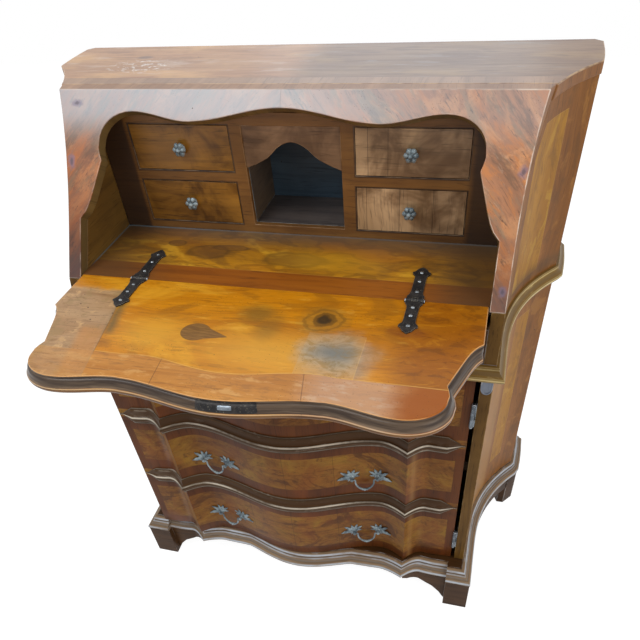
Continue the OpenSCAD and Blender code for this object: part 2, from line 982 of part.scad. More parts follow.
module nail(x, y) {
    translate([x, y, bed_z])
        rotate_extrude($fn = 28)
            polygon([[0, -8], [1.7, -7], [1.7, strap_t], [3.6, strap_t], [3.2, strap_t + 1.2],
                [1.6, strap_t + 2], [0, strap_t + 2.2]]);
}

module bed_nails() {
    case_place() color(pewter)
        for (s = [-1, 1])
            for (d = bed_nail_ds)
                nail(s * strap_x, hinge_y + d);
}

module fall_nails() {
    case_place() color(pewter)
        for (s = [-1, 1])
            for (d = fall_nail_ds)
                nail(s * strap_x, hinge_y - d);
}

// door

module on_door() {
    case_place()
        translate([hinge_x, door_axis_y, 0])
            rotate([0, 0, door_ajar])
                translate([-hinge_x, -door_axis_y, 0])
                    children();
}

field_zs = [door_z0, mould_low_z, mould_high_z];

// one handle's own frame: x across, z up, -y out of the door
module handle_frame(s, z) {
    x = s * handle_x;
    y1 = front_y(x - bail_half);
    y2 = front_y(x + bail_half);
    translate([x, (y1 + y2) / 2 - 0.8, z + field_pivot(z)])
        rotate([0, 0, atan((y2 - y1) / (2 * bail_half))])
            children();
}

module door_panel() {
    on_door() color(walnut)
        difference() {
            front_slab(door_half, 0, -door_t, door_z0, door_z1);
            for (z = field_zs)
                for (s = [-1, 1])
                    handle_frame(s, z)
                        for (e = [-1, 1])
                            translate([e * bail_half, 14, 0])
                                rotate([90, 0, 0])
                                    cylinder(r = 2.1, h = 40, $fn = 24);
        }
}

function field_pivot(z) = z == door_z0 ? handle_z - 8 : handle_z;

module door_moulding(z) {
    prof = [[0, 24], [3.4, 23], [5.4, 18], [5.8, 11], [7.4, 7.5], [11.4, 6.4], [13.4, 3], [13.2, -1.4],
        [10.6, -5], [6.8, -6.2], [6.6, -8], [8.2, -9.6], [8, -12], [5.4, -13.8], [0, -14.4]];
    xs = ridge_xs(door_half - 1);
    k = len(xs);
    n = len(prof);
    function keep(x) = abs(x) < outer_x + 30 ? 1 : max(0.12, 1 - (abs(x) - outer_x - 30) / 28);
    verts = [for (x = xs) for (q = prof)
        [x, front_y(x) - q[0] * keep(x), z + 3 + (q[1] - 3) * keep(x)]];
    walls = [for (i = [0:k - 2]) for (j = [0:n - 1])
        [i * n + j, (i + 1) * n + j, (i + 1) * n + (j + 1) % n, i * n + (j + 1) % n]];
    ends = [[for (j = [0:n - 1]) j], [for (j = [n - 1:-1:0]) (k - 1) * n + j]];
    polyhedron(verts, concat(walls, ends), convexity = 8);
}

module door_moulding_upper() {
    on_door() color(dark) door_moulding(mould_high_z);
}

module door_moulding_lower() {
    on_door() color(dark) door_moulding(mould_low_z);
}

module leaf(w, h, a) {
    rotate([0, 0, a])
        linear_extrude(2.6)
            polygon([[0, -w * 0.34], [h * 0.28, -w * 0.5], [h * 0.42, -w * 0.3], [h * 0.66, -w * 0.42],
                [h * 0.76, -w * 0.2], [h, 0], [h * 0.74, w * 0.24], [h * 0.62, w * 0.46],
                [h * 0.4, w * 0.3], [h * 0.22, w * 0.5], [0, w * 0.34]]);
}

module leaf_on_door(x, z, e, w, h, a) {
    tip = x + e * h * cos(a);
    translate([x, front_y(x) - 0.5, z])
        rotate([0, 0, atan((front_y(tip) - front_y(x)) / (tip - x))])
            rotate([90, 0, 0])
                mirror([e < 0 ? 1 : 0, 0, 0])
                    leaf(w, h, a);
}

module post() {
    rotate([90, 0, 0])
        difference() {
            union() {
                cylinder(r = 6.4, h = 4, $fn = 32);
                translate([0, 0, -12])
                    cylinder(r = 1.9, h = 14, $fn = 24);
                translate([0, 0, 3])
                    cylinder(r = 4.4, h = 10.4, $fn = 32);
            }
            translate([-12, 0, 9])
                rotate([0, 90, 0])
                    cylinder(r = bail_r + pin_gap, h = 24, $fn = 32);
        }
}

module door_rosettes() {
    color(pewter)
        on_door()
            for (z = field_zs)
                for (s = [-1, 1])
                    for (e = [-1, 1]) {
                        handle_frame(s, z)
                            translate([e * bail_half, 0, 0])
                                post();
                        for (q = [[30, 12], [25, 62], [17, 118], [19, -28]])
                            leaf_on_door(s * handle_x + e * bail_half, z + field_pivot(z), e, 15, q[0], q[1]);
                    }
}

module bail_wire(s, z) {
    arm = bail_half - 7.5;
    drop = 29;
    r = 15;
    color(pewter)
        on_door() handle_frame(s, z)
            translate([0, -9, 0])
                rotate([90, 0, 0]) {
                    for (e = [0, 1])
                        mirror([e, 0, 0]) {
                            translate([arm, 0, 0])
                                rotate([0, 90, 0])
                                    cylinder(r = bail_r, h = 12.5, $fn = 32);
                            translate([arm, 0, 0])
                                sphere(r = bail_r, $fn = 32);
                            translate([arm, 0, 0])
                                rotate([90, 0, 0])
                                    cylinder(r = bail_r, h = drop - r, $fn = 32);
                            translate([arm - r, -drop + r, 0])
                                rotate([0, 0, -90])
                                    rotate_extrude(angle = 90, $fn = 48)
                                        translate([r, 0])
                                            circle(r = bail_r, $fn = 24);
                            translate([-0.1, -drop, 0])
                                rotate([0, 90, 0])
                                    cylinder(r = bail_r, h = arm - r + 0.2, $fn = 32);
                        }
                    translate([-4.5, -drop, 0])
                        rotate([0, 90, 0])
                            rotate_extrude($fn = 32)
                                polygon([[0, 0], [2.6, 0], [3.6, 2], [2.8, 3.4], [4, 4.5], [2.8, 5.6],
                                    [3.6, 7], [2.6, 9], [0, 9]]);
                }
}

module bail_top_left() {
    bail_wire(-1, mould_high_z);
}

module bail_top_right() {
    bail_wire(1, mould_high_z);
}

module bail_mid_left() {
    bail_wire(-1, mould_low_z);
}

module bail_mid_right() {
    bail_wire(1, mould_low_z);
}

module bail_low_left() {
    bail_wire(-1, door_z0);
}

module bail_low_right() {
    bail_wire(1, door_z0);
}

hk = 3.6;

module door_hinge_knuckle(z1, z2) {
    translate([hinge_x, door_axis_y, z1])
        difference() {
            cylinder(r = hk, h = z2 - z1, $fn = 36);
            translate([0, 0, -1])
                cylinder(r = 1.8 + pin_gap, h = z2 - z1 + 2, $fn = 36);
        }
}

module door_hinge_case() {
    case_place() color(pewter)
        for (z = door_hinge_zs) {
            for (q = [[-25, -8.6], [8.6, 25]]) {
                door_hinge_knuckle(z + q[0], z + q[1]);
                translate([hinge_x + 2.4, door_axis_y, z + q[0]])
                    cube([stile_in - hinge_x - 2.7, 6, q[1] - q[0]]);
            }
            translate([stile_in - 1.6, stile_y + 1, z - 25])
                cube([1.6, 17, 50]);
        }
}

module door_hinge_leaf() {
    on_door() color(pewter)
        for (z = door_hinge_zs) {
            door_hinge_knuckle(z - 8.2, z + 8.2);
            translate([door_half, door_axis_y + 2.1, z - 8.2])
                cube([1.5, 6, 16.4]);
            translate([door_half, door_axis_y + 5, z - 25])
                cube([1.5, 15, 50]);
        }
}

module door_hinge_pins() {
    case_place() color(pewter)
        for (z = door_hinge_zs)
            translate([hinge_x, door_axis_y, z]) {
                translate([0, 0, -26])
                    cylinder(r = 1.8, h = 52, $fn = 36);
                for (e = [-27.4, 25.4])
                    translate([0, 0, e])
                        cylinder(r = 3, h = 2, $fn = 36);
            }
}

side_left();
side_right();
top_board();
back_panel();
slant_frame();
stiles();
stile_feet();
corner_drops();
waist_rail();
waist_moulding();
fascia();
desk_bed();
inner_cheeks();
cupboard_floor();
cupboard_shelf();
shelf_cleats();
base_frame();
base_moulding();
foot_front_left();
foot_front_right();
foot_rear_left();
foot_rear_right();
side_aprons();
loper_left();
loper_right();
loper_guides();
gallery_face();
gallery_floor();
gallery_top();
gallery_back();
gallery_partitions();
gallery_valance();
drawer_tl();
drawer_bl();
drawer_tr();
drawer_br();
drawer_tl_knob();
drawer_bl_knob();
drawer_tr_knob();
drawer_br_knob();
fall_board();
fall_lock();
bed_straps();
fall_straps();
strap_pins();
bed_nails();
fall_nails();
door_panel();
door_moulding_upper();
door_moulding_lower();
door_rosettes();
bail_top_left();
bail_top_right();
bail_mid_left();
bail_mid_right();
bail_low_left();
bail_low_right();
door_hinge_case();
door_hinge_leaf();
door_hinge_pins();
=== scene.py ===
import bmesh
import bpy
import json
import math
from mathutils import Matrix, Vector


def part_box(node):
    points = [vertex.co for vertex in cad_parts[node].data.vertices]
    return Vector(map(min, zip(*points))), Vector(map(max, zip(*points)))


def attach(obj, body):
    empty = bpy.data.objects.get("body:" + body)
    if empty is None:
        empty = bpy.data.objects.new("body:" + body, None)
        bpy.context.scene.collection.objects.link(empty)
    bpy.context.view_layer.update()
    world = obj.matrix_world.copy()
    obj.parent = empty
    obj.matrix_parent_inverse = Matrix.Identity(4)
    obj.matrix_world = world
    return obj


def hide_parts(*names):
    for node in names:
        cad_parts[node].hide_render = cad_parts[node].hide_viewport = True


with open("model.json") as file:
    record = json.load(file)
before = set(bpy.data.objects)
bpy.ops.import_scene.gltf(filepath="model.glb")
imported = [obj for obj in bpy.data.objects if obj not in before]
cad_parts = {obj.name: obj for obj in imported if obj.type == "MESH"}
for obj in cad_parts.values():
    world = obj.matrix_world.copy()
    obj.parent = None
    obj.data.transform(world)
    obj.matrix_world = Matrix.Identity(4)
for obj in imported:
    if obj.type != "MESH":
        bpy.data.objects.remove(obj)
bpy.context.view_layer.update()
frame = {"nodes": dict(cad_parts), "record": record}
print("desk frame loaded")

# sizes in mm, in the case frame: x from the centre, y from the top board's front edge, z from the floor
caseSizes = {
    "frontHalf": 364,
    "sideFlare": 87,
    "rearOut": 4,
    "topDepth": 236,
    "totalHeight": 1000,
    "bedHeight": 760,
    "slant": 55.34,
    "bulge": 41,
    "ridge": 24,
    "openHalf": 341,
    "headRail": 25.4,
    "headWave": 20,
    "waistHeight": 642,
    "baseHeight": 92,
    "hingeIn": 5.9,
    "stileOut": 17,
    "flareIn": 48,
    "flareRear": 110,
    "rearRun": 71,
    "backIn": 4,
}
# half widths at which the curve of the front changes
frontMarks = {"hollow": 185, "ridge": 236, "foot": 274, "flat": 304, "end": 400}
baseFillSizes = {"start": 120, "end": 236, "deep": 9}
deskRise = caseSizes["totalHeight"] - caseSizes["bedHeight"]
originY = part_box("top_board")[1][1] * 1000 - caseSizes["topDepth"]
slopeY = -deskRise / math.tan(math.radians(caseSizes["slant"]))
hingeY = slopeY + caseSizes["hingeIn"]
stileY = slopeY - caseSizes["stileOut"]
flareStart = stileY + caseSizes["flareIn"]
flareEnd = caseSizes["topDepth"] - caseSizes["flareRear"]
rearY = caseSizes["topDepth"] - caseSizes["backIn"]
slantCos = math.cos(math.radians(caseSizes["slant"]))
slantSin = math.sin(math.radians(caseSizes["slant"]))
openPeak = deskRise * slantSin - hingeY * slantCos - caseSizes["headRail"]
footReach = hingeY * slantCos + caseSizes["bedHeight"] * slantSin
bodyOf = {node: body for body, nodes in frame["record"]["behaviour"]["bodies"].items() for node in nodes}


def spot(x, y, z):
    return Vector((x, y + originY, z)) / 1000


def wave(degrees):
    return math.sin(math.radians(degrees))


def sideX(y):
    c = caseSizes
    if y < flareStart:
        return c["frontHalf"]
    if y < flareEnd:
        return c["frontHalf"] + c["sideFlare"] * ((y - flareStart) / (flareEnd - flareStart)) ** 2.6
    return c["frontHalf"] + c["sideFlare"] + c["rearOut"] * wave(90 * min(1, (y - flareEnd) / c["rearRun"]))


def sideOut(y):
    slope = (sideX(y + 1.5) - sideX(y - 1.5)) / 3
    return Vector((1, -slope)).normalized()


def sideRun(front, back, step=5.5):
    count = max(2, round((back - front) / step))
    return [front + (back - front) * i / count for i in range(count + 1)]


def frontY(x):
    a = abs(x)
    c, m = caseSizes, frontMarks
    if a < m["hollow"]:
        return stileY + 1 - c["bulge"] * (1 + math.cos(math.radians(180 * a / m["hollow"]))) / 2
    if a < m["ridge"]:
        return stileY + 1 - (c["ridge"] - 1) * ((a - m["hollow"]) / (m["ridge"] - m["hollow"])) ** 1.6
    if a < m["foot"]:
        return stileY + 2 - c["ridge"] * (1 - wave(90 * (a - m["ridge"]) / (m["foot"] - m["ridge"])))
    return stileY + 2 - 2 * wave(90 * min(1, (a - m["foot"]) / (m["flat"] - m["foot"])))


def frontRun(half, step=4.6):
    marks = [0, *frontMarks.values()]
    xs = []
    for a, b in zip(marks, marks[1:]):
        count = max(2, round((b - a) / step))
        xs += [a + (b - a) * i / count for i in range(count)]
    xs = [x for x in xs if x < half - 1] + [half]
    return [-x for x in reversed(xs) if x > 0] + xs


def baseFill(x):
    a = abs(x)
    start, end, deep = baseFillSizes.values()
    return deep * wave(180 * (a - start) / (end - start)) if start <= a <= end else 0


# meshes


def linked(name, data):
    thing = bpy.data.objects.new(name, data)
    bpy.context.scene.collection.objects.link(thing)
    return thing


def pieceFrom(name, mesh, body, nodes=(), finish=None, smoothAngle=40):
    piece = linked(name, mesh)
    if finish:
        mesh.materials.clear()
        mesh.materials.append(finish)
    if smoothAngle:
        mesh.shade_smooth()
        mesh.set_sharp_from_angle(angle=math.radians(smoothAngle))
    if nodes:
        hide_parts(*nodes)
    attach(piece, body)
    return piece


def grownMesh(name, points, faces, uvs=None):
    mesh = bpy.data.meshes.new(name)
    mesh.from_pydata([tuple(p) for p in points], [], faces)
    if uvs:
        layer = mesh.uv_layers.new(name="UVMap")
        for loop in mesh.loops:
            layer.data[loop.index].uv = uvs[loop.vertex_index]
    return mesh


def tidied(mesh, distance=1e-6, fillHoles=False):
    shape = bmesh.new()
    shape.from_mesh(mesh)
    bmesh.ops.remove_doubles(shape, verts=shape.verts, dist=distance)
    if fillHoles:
        openEdges = [e for e in shape.edges if len(e.link_faces) == 1]
        bmesh.ops.holes_fill(shape, edges=openEdges, sides=0)
    bmesh.ops.recalc_face_normals(shape, faces=shape.faces)
    shape.to_mesh(mesh)
    shape.free()
    return mesh


def evaluatedMesh(piece):
    depsgraph = bpy.context.evaluated_depsgraph_get()
    mesh = bpy.data.meshes.new_from_object(piece.evaluated_get(depsgraph), depsgraph=depsgraph)
    bpy.data.objects.remove(piece)
    return mesh


# copy of a part with its edges eased, the eased strips marked for wear; angles in degrees
easeSizes = {"sharpAngle": 28, "creaseAngle": 50, "flatAngle": 0.25}


def easedMesh(name, node, width):
    shape = bmesh.new()
    shape.from_mesh(frame["nodes"][node].data)
    bmesh.ops.remove_doubles(shape, verts=shape.verts, dist=2e-6)
    flat = math.radians(easeSizes["flatAngle"])
    bmesh.ops.dissolve_limit(shape, angle_limit=flat, verts=shape.verts, edges=shape.edges)
    worn = shape.faces.layers.float.new("edge")
    sharp = math.radians(easeSizes["sharpAngle"])
    edges = [e for e in shape.edges if len(e.link_faces) == 2 and e.calc_face_angle(0) > sharp]
    eased = bmesh.ops.bevel(shape, geom=edges, offset=width / 1000, offset_type="OFFSET", segments=2,
        profile=0.6, affect="EDGES", clamp_overlap=True)
    for face in eased["faces"]:
        face[worn] = 1.0
    bmesh.ops.recalc_face_normals(shape, faces=shape.faces)
    mesh = bpy.data.meshes.new(name)
    shape.to_mesh(mesh)
    shape.free()
    mesh.shade_smooth()
    mesh.set_sharp_from_angle(angle=math.radians(easeSizes["creaseAngle"]))
    holder = linked(name, mesh)
    holder.modifiers.new("even", "WEIGHTED_NORMAL").keep_sharp = True
    return evaluatedMesh(holder)


def easedPiece(node, width, finish):
    mesh = easedMesh(node + "_shown", node, width)
    return pieceFrom(node + "_shown", mesh, bodyOf[node], [node], finish, smoothAngle=None)


def latheMesh(name, outline, sides=24):
    points, faces = [], []
    for r, h in outline:
        for i in range(sides):
            a = 2 * math.pi * i / sides
            points.append((r * math.cos(a) / 1000, r * math.sin(a) / 1000, h / 1000))
    for k in range(len(outline) - 1):
        for i in range(sides):
            j = (i + 1) % sides
            faces.append([k * sides + i, k * sides + j, (k + 1) * sides + j, (k + 1) * sides + i])
    faces.append([i for i in reversed(range(sides))])
    faces.append([(len(outline) - 1) * sides + i for i in range(sides)])
    return grownMesh(name, points, faces)


def joinedMesh(name, meshes):
    shape = bmesh.new()
    for mesh in meshes:
        shape.from_mesh(mesh)
    mesh = bpy.data.meshes.new(name)
    bmesh.ops.recalc_face_normals(shape, faces=shape.faces)
    shape.to_mesh(mesh)
    shape.free()
    return mesh


# node trees


class Wire:
    def __init__(self, graph, socket):
        self.graph = graph
        self.socket = socket

    def maths(self, operation, other=0.0):
        return self.graph.node("ShaderNodeMath", {"operation": operation}, {0: self, 1: other})

    def __add__(self, other):
        return self.maths("ADD", other)

    __radd__ = __add__

    def __sub__(self, other):
        return self.maths("SUBTRACT", other)

    def __rsub__(self, other):
        return self.graph.number(other).maths("SUBTRACT", self)

    def __mul__(self, other):
        return self.maths("MULTIPLY", other)

    __rmul__ = __mul__

    def __truediv__(self, other):
        return self.maths("DIVIDE", other)

    def __pow__(self, other):
        return self.maths("POWER", other)

    def __abs__(self):
        return self.maths("ABSOLUTE")

    def sine(self):
        return self.maths("SINE")

    def least(self, other):
        return self.maths("MINIMUM", other)

    def most(self, other):
        return self.maths("MAXIMUM", other)

    def step(self, start, end):
        return self.graph.node("ShaderNodeMapRange", {"interpolation_type": "SMOOTHSTEP"},
            {0: self, 1: start, 2: end, 3: 0.0, 4: 1.0})

    def fall(self, start, end):
        return 1 - self.step(start, end)

    # 1 where the value lies between the two marks, with soft ends
    def between(self, low, high, soft):
        return self.step(low - soft, low + soft) * self.fall(high - soft, high + soft)

    def at(self, centre, width, soft):
        return abs(self - centre).fall(width - soft, width + soft)

    def stained(self, amount, *tone):
        return self.graph.blend(amount, self, paint(*tone))

    def shaded(self, amount, *tone):
        return self.graph.multiply(amount, self, paint(*tone))

    # the high patches of a noise take one tone, its low patches another; each has its start, end and amount
    def mottled(self, noise, high, highTone, low, lowTone):
        lit = self.stained(noise.step(*high[:2]) * high[2], *highTone)
        return lit.stained(noise.fall(*low[:2]) * low[2], *lowTone)


def socketOf(sockets, key):
    return sockets[key] if isinstance(key, int) else next(s for s in sockets if s.name == key and s.enabled)


class Graph:
    def __init__(self, tree):
        self.tree = tree

    def node(self, kind, settings=None, sockets=None, out=0):
        made = self.tree.nodes.new(kind)
        for name, value in (settings or {}).items():
            setattr(made, name, value)
        for key, value in (sockets or {}).items():
            entry = socketOf(made.inputs, key)
            if isinstance(value, Wire):
                self.tree.links.new(value.socket, entry)
            else:
                entry.default_value = value
        if not len(made.outputs):
            return made
        return Wire(self, socketOf(made.outputs, out))

    def number(self, value):
        return self.node("ShaderNodeMath", {"operation": "ADD"}, {0: value, 1: 0.0})

    def blend(self, amount, under, over):
        return self.node("ShaderNodeMix", {"data_type": "RGBA"}, {0: amount, 6: under, 7: over}, 2)

    def multiply(self, amount, under, over):
        return self.node("ShaderNodeMix", {"data_type": "RGBA", "blend_type": "MULTIPLY"},
            {0: amount, 6: under, 7: over}, 2)

    def moved(self, vector, other):
        return self.node("ShaderNodeVectorMath", {"operation": "ADD"}, {0: vector, 1: other})

    def joined(self, x, y, z=0.0):
        return self.node("ShaderNodeCombineXYZ", None, {0: x, 1: y, 2: z})

    def parts(self, vector):
        first = self.node("ShaderNodeSeparateXYZ", None, {0: vector})
        outs = first.socket.node.outputs
        return [Wire(self, outs[i]) for i in range(3)]

    def noise(self, place, scale, detail=3.0, roughness=0.5, distortion=0.0):
        vector = self.joined(*place) if isinstance(place, tuple) else place
        return self.node("ShaderNodeTexNoise", None, {"Vector": vector, "Scale": scale, "Detail": detail,
            "Roughness": roughness, "Distortion": distortion})

    # distance to the nearest cell's middle, or with out=1 the cell's own colour
    def cells(self, vector, scale, out=0):
        return self.node("ShaderNodeTexVoronoi", {"feature": "F1"}, {"Vector": vector, "Scale": scale}, out)


# a colour as seen, red green blue out of 255
def paint(red, green, blue):
    def line(c):
        c = c / 255
        return c / 12.92 if c <= 0.04045 else ((c + 0.055) / 1.055) ** 2.4
    return (line(red), line(green), line(blue), 1.0)


# a wood's four tones: light, middle, dark and the pores
def palette(*tones):
    return [paint(*tone) for tone in tones]


def finishGraph(name):
    finish = bpy.data.materials.new(name)
    finish.use_nodes = True
    finish.node_tree.nodes.clear()
    return finish, Graph(finish.node_tree)


def finishEnd(graph, colour, roughness, height=None, depth=0.0004, metallic=0.0, coat=0.0, specular=0.3):
    sockets = {"Base Color": colour, "Roughness": roughness, "Metallic": metallic, "Coat Weight": coat,
        "Coat Roughness": 0.24, "Specular IOR Level": specular}
    if height is not None:
        sockets["Normal"] = graph.node("ShaderNodeBump", None,
            {"Strength": 1.0, "Distance": depth, "Height": height})
    shader = graph.node("ShaderNodeBsdfPrincipled", None, sockets)
    graph.node("ShaderNodeOutputMaterial", None, {0: shader})


def grainHeight(grain, streaks=0.5):
    return grain["pores"] * 0.5 + grain["streaks"] * streaks


def objectSpot(graph):
    return graph.node("ShaderNodeTexCoord", None, None, 3)


def mappedSpot(graph):
    return graph.node("ShaderNodeUVMap", {"uv_map": "UVMap"})


def marked(graph, name):
    return graph.node("ShaderNodeAttribute", {"attribute_name": name}, None, 2)


# grain: along is the coordinate down the fibres, across and deep the two over them, all in metres
def grainOf(graph, along, across, deep, seed=0.0, curl=0.02, rings=60.0):
    flow = graph.joined(along + seed, across * 3.0, deep * 3.0)
    drift = graph.noise(flow, 3.2, 2.0, 0.5)
    wander = (drift - 0.5) * curl * 2
    figure = graph.noise((along * 1.4 + seed, (across + wander) * 11, deep * 11), 1.6, 3.0, 0.55, 0.6)
    bands = (((across + wander) * rings + figure * 6).sine() * 0.5 + 0.5) ** 1.6
    pores = graph.noise((along * 22 + seed, (across + wander) * 420, deep * 420), 1.0, 2.0, 0.6)
    streaks = graph.noise((along * 5 + seed, (across + wander) * 95, deep * 95), 1.0, 4.0, 0.6)
    return {"figure": figure, "bands": bands, "pores": pores, "streaks": streaks}


def wormHoles(graph, vector, scale=34.0, limit=0.055, chance=0.72):
    distance = graph.cells(vector, scale)
    pick = graph.parts(graph.cells(vector, scale, 1))[0].step(chance, chance + 0.01)
    clump = graph.noise(vector, 5.0, 1.0).step(0.5, 0.6)
    return distance.fall(limit * 0.6, limit) * pick * clump


def woodColour(graph, grain, tones, pore=0.5, band=0.5):
    base = graph.blend(grain["figure"].step(0.3, 0.7), tones[0], tones[1])
    base = graph.blend(grain["streaks"].step(0.45, 0.72) * band, base, tones[2])
    base = graph.blend(grain["bands"] * band * 0.5, base, tones[2])
    base = graph.blend(grain["pores"].fall(0.3, 0.42) * pore, base, tones[3])
    return base


print("helpers ready")

# finishes

hingeMetres = (hingeY + originY) / 1000


def caseY(y):
    return y - originY / 1000


# how far a place lies behind the slanted face
def behindSlope(y, z):
    return (caseY(y) - slopeY / 1000) * slantSin - (z - caseSizes["bedHeight"] / 1000) * slantCos


# soft-edged oval of a mark in the veneer
def ovalMark(graph, a, b, centreA, centreB, reachA, reachB, soft=0.35, warp=0.2, scale=26.0):
    wobble = (graph.noise((a, b), scale, 2.0) - 0.5) * warp
    reach = (((a - centreA) / reachA) ** 2.0 + ((b - centreB) / reachB) ** 2.0) ** 0.5 + wobble
    return reach.fall(1 - soft, 1 + soft)


def veneerFinish(name, tones, axes, joints=(), pore=0.5, band=0.5, rings=60.0, roughness=0.34, coat=0.35,
        seed=0.0, wear=0.5, rubbed=(206, 166, 124), grimeAndShade=None, smoke=0.0, specular=0.3):
    finish, graph = finishGraph(name)
    place = objectSpot(graph)
    parts = graph.parts(place)
    along, across, deep = [parts[i] for i in axes]
    grain = grainOf(graph, along, across, deep, seed, rings=rings)
    colour = woodColour(graph, grain, tones, pore, band)
    cloud = graph.noise(place, 6.0, 3.0, 0.6).step(0.3, 0.75)
    colour = graph.multiply(0.7, colour, graph.blend(cloud, paint(176, 166, 158), paint(255, 252, 248)))
    for axis, where in joints:
        colour = graph.blend(parts[axis].at(where, 0.0004, 0.0005) * 0.8, colour, tones[3])
    colour = colour.stained(wormHoles(graph, place), 30, 18, 10)
    if smoke:
        shadow = graph.noise(place, 13.0, 4.0, 0.6, 0.6)
        colour = colour.shaded(shadow.fall(0.34, 0.6) * smoke, 132, 116, 104)
    # darkening handed in by the caller: painted shade for the gallery
    if grimeAndShade:
        colour = graph.blend(grimeAndShade(parts), colour, tones[3])
    pale = marked(graph, "edge") * wear * graph.noise(place, 40.0, 2.0).step(0.38, 0.62)
    colour = graph.blend(pale, colour, paint(*rubbed))
    height = grainHeight(grain)
    rough = roughness + (cloud - 0.5) * -0.1 + grain["pores"].fall(0.3, 0.42) * 0.12
    finishEnd(graph, colour, rough, height, 0.00025, coat=coat, specular=specular)
    return finish


# the top runs lengthwise, with a crossbanded strip along its front edge
topSizes = {"band": 0.054}


def topColour(graph, place):
    x, y, z = graph.parts(place)
    y = caseY(y)
    grain = grainOf(graph, x, y, z, 4.1, curl=0.03, rings=44.0)
    tones = palette((196, 148, 104), (172, 120, 80), (138, 92, 60), (84, 56, 40))
    colour = woodColour(graph, grain, tones, 0.45, 0.6)
    warm = graph.noise((x * 1.6, y * 3.4), 3.0, 4.0, 0.6)
    colour = colour.mottled(warm, (0.5, 0.64, 0.6), (214, 164, 104), (0.34, 0.46, 0.55), (142, 98, 74))
    worn = graph.noise((x * 5, y * 22, 2.0), 2.2, 4.0, 0.66)
    colour = colour.mottled(worn, (0.56, 0.68, 0.4), (204, 178, 158), (0.32, 0.42, 0.4), (120, 80, 56))
    # painted reflection: the right half of the top is painted darker, greyer and cooler to stand for the sky
    # seen in its polish
    paintedReflection = (x + (warm - 0.5) * 0.12).step(-0.04, 0.04)
    colour = colour.shaded(paintedReflection * 0.8, 172, 176, 184)
    cross = grainOf(graph, y, x, z, 9.1, curl=0.02, rings=60.0)
    bandTones = palette((170, 130, 98), (146, 108, 80), (118, 86, 62), (78, 56, 42))
    band = y.fall(topSizes["band"] - 0.0004, topSizes["band"] + 0.0004)
    colour = graph.blend(band, colour, woodColour(graph, cross, bandTones, 0.45, 0.45))
    colour = graph.blend(y.at(topSizes["band"], 0.0003, 0.0006) * 0.55, colour, tones[3])
    # lime drips and a bruise at the left
    drips = graph.noise((x * 1.2, y * 2.0), 60.0, 3.0, 0.7).step(0.55, 0.62)
    room = ovalMark(graph, x, y, -0.292, 0.118, 0.055, 0.035, 0.5)
    colour = colour.stained(drips * room * 0.8, 236, 232, 226)
    bruise = ovalMark(graph, x, y, -0.306, 0.168, 0.014, 0.008, 0.5)
    colour = colour.stained(bruise * 0.7, 96, 74, 64)
    colour = colour.stained(wormHoles(graph, place, 40.0), 40, 24, 16)
    return colour, grain


# side panels: golden field inside wide brown borders, split at the waist moulding
sideField = {"front": -0.016, "rear": 0.0755, "slopeIn": 0.036, "top": 0.952, "low": 0.69,
    "lowerFront": 0.0425, "lowerRear": 0.081, "lowerTop": 0.6, "lowerLow": 0.2, "soft": 0.0006}


def sideColour(graph, place):
    x, y, z = graph.parts(place)
    f = sideField
    wobble = (graph.noise((z * 3, y * 3), 4.0, 2.0) - 0.5) * 0.004
    behind = behindSlope(y, z) + wobble
    back = caseY(y) + wobble
    high = z + wobble
    soft = f["soft"]
    upper = behind.step(f["slopeIn"] - soft, f["slopeIn"] + soft)
    upper = upper.least(back.step(f["front"] - soft, f["front"] + soft))
    upper = upper * back.fall(f["rear"] - soft, f["rear"] + soft)
    upper = upper * high.fall(f["top"] - soft, f["top"] + soft)
    upper = upper * high.step(f["low"] - 0.001, f["low"])
    lower = back.between(f["lowerFront"], f["lowerRear"], soft)
    lower = lower * high.between(f["lowerLow"], f["lowerTop"], soft)
    field = upper.most(lower)
    grainField = grainOf(graph, z, y, x * 0.2, 2.2, curl=0.07, rings=34.0)
    fieldTones = palette((182, 128, 34), (160, 106, 26), (132, 86, 22), (82, 52, 16))
    fieldColour = woodColour(graph, grainField, fieldTones, 0.4, 0.5)
    glow = graph.noise((z * 2.6, y * 4.6, x), 6.0, 5.0, 0.64, 0.8)
    fieldColour = fieldColour.mottled(glow, (0.54, 0.64, 0.5), (192, 146, 44),
        (0.36, 0.47, 0.6), (132, 90, 28))
    grainEdge = grainOf(graph, z, y, x * 0.2, 7.2, curl=0.04, rings=54.0)
    edgeTones = palette((152, 98, 40), (132, 82, 30), (106, 64, 25), (62, 40, 20))
    edgeColour = woodColour(graph, grainEdge, edgeTones, 0.5, 0.5)
    mottle = graph.noise((z * 3.2, y * 6, x), 5.0, 5.0, 0.66, 0.4)
    edgeColour = edgeColour.mottled(mottle, (0.54, 0.64, 0.5), (166, 114, 50),
        (0.36, 0.46, 0.5), (100, 66, 32))
    # the front of the lower panel is paler
    pale = back.fall(0.02, 0.0425) * high.fall(0.63, 0.66)
    edgeColour = edgeColour.stained(pale * 0.5, 184, 138, 80)
    colour = graph.blend(field, edgeColour, fieldColour)
    colour = colour.stained(field.at(0.5, 0.3, 0.2) * 0.4, 222, 178, 96)
    # a darker band at the foot of the upper field, just above the waist moulding
    darkening = high.between(0.676, 0.698, 0.012)
    colour = colour.stained(darkening * 0.55, 88, 64, 36)
    dark = graph.noise((z * 2, y * 5, x), 9.0, 3.0, 0.6).step(0.58, 0.7)
    colour = colour.stained(dark * 0.35, 108, 72, 36)
    colour = colour.stained(wormHoles(graph, place), 34, 20, 12)
    return colour, grainEdge, glow


def sideVeneer():
    finish, graph = finishGraph("side_veneer_bordered")
    place = objectSpot(graph)
    colour, grain, glow = sideColour(graph, place)
    rubbed = marked(graph, "edge") * graph.noise(place, 40.0, 2.0).step(0.4, 0.6)
    colour = colour.stained(rubbed * 0.4, 206, 168, 124)
    height = grainHeight(grain)
    finishEnd(graph, colour, 0.5 - glow * 0.08, height, 0.0002, coat=0.04, specular=0.12)
    return finish


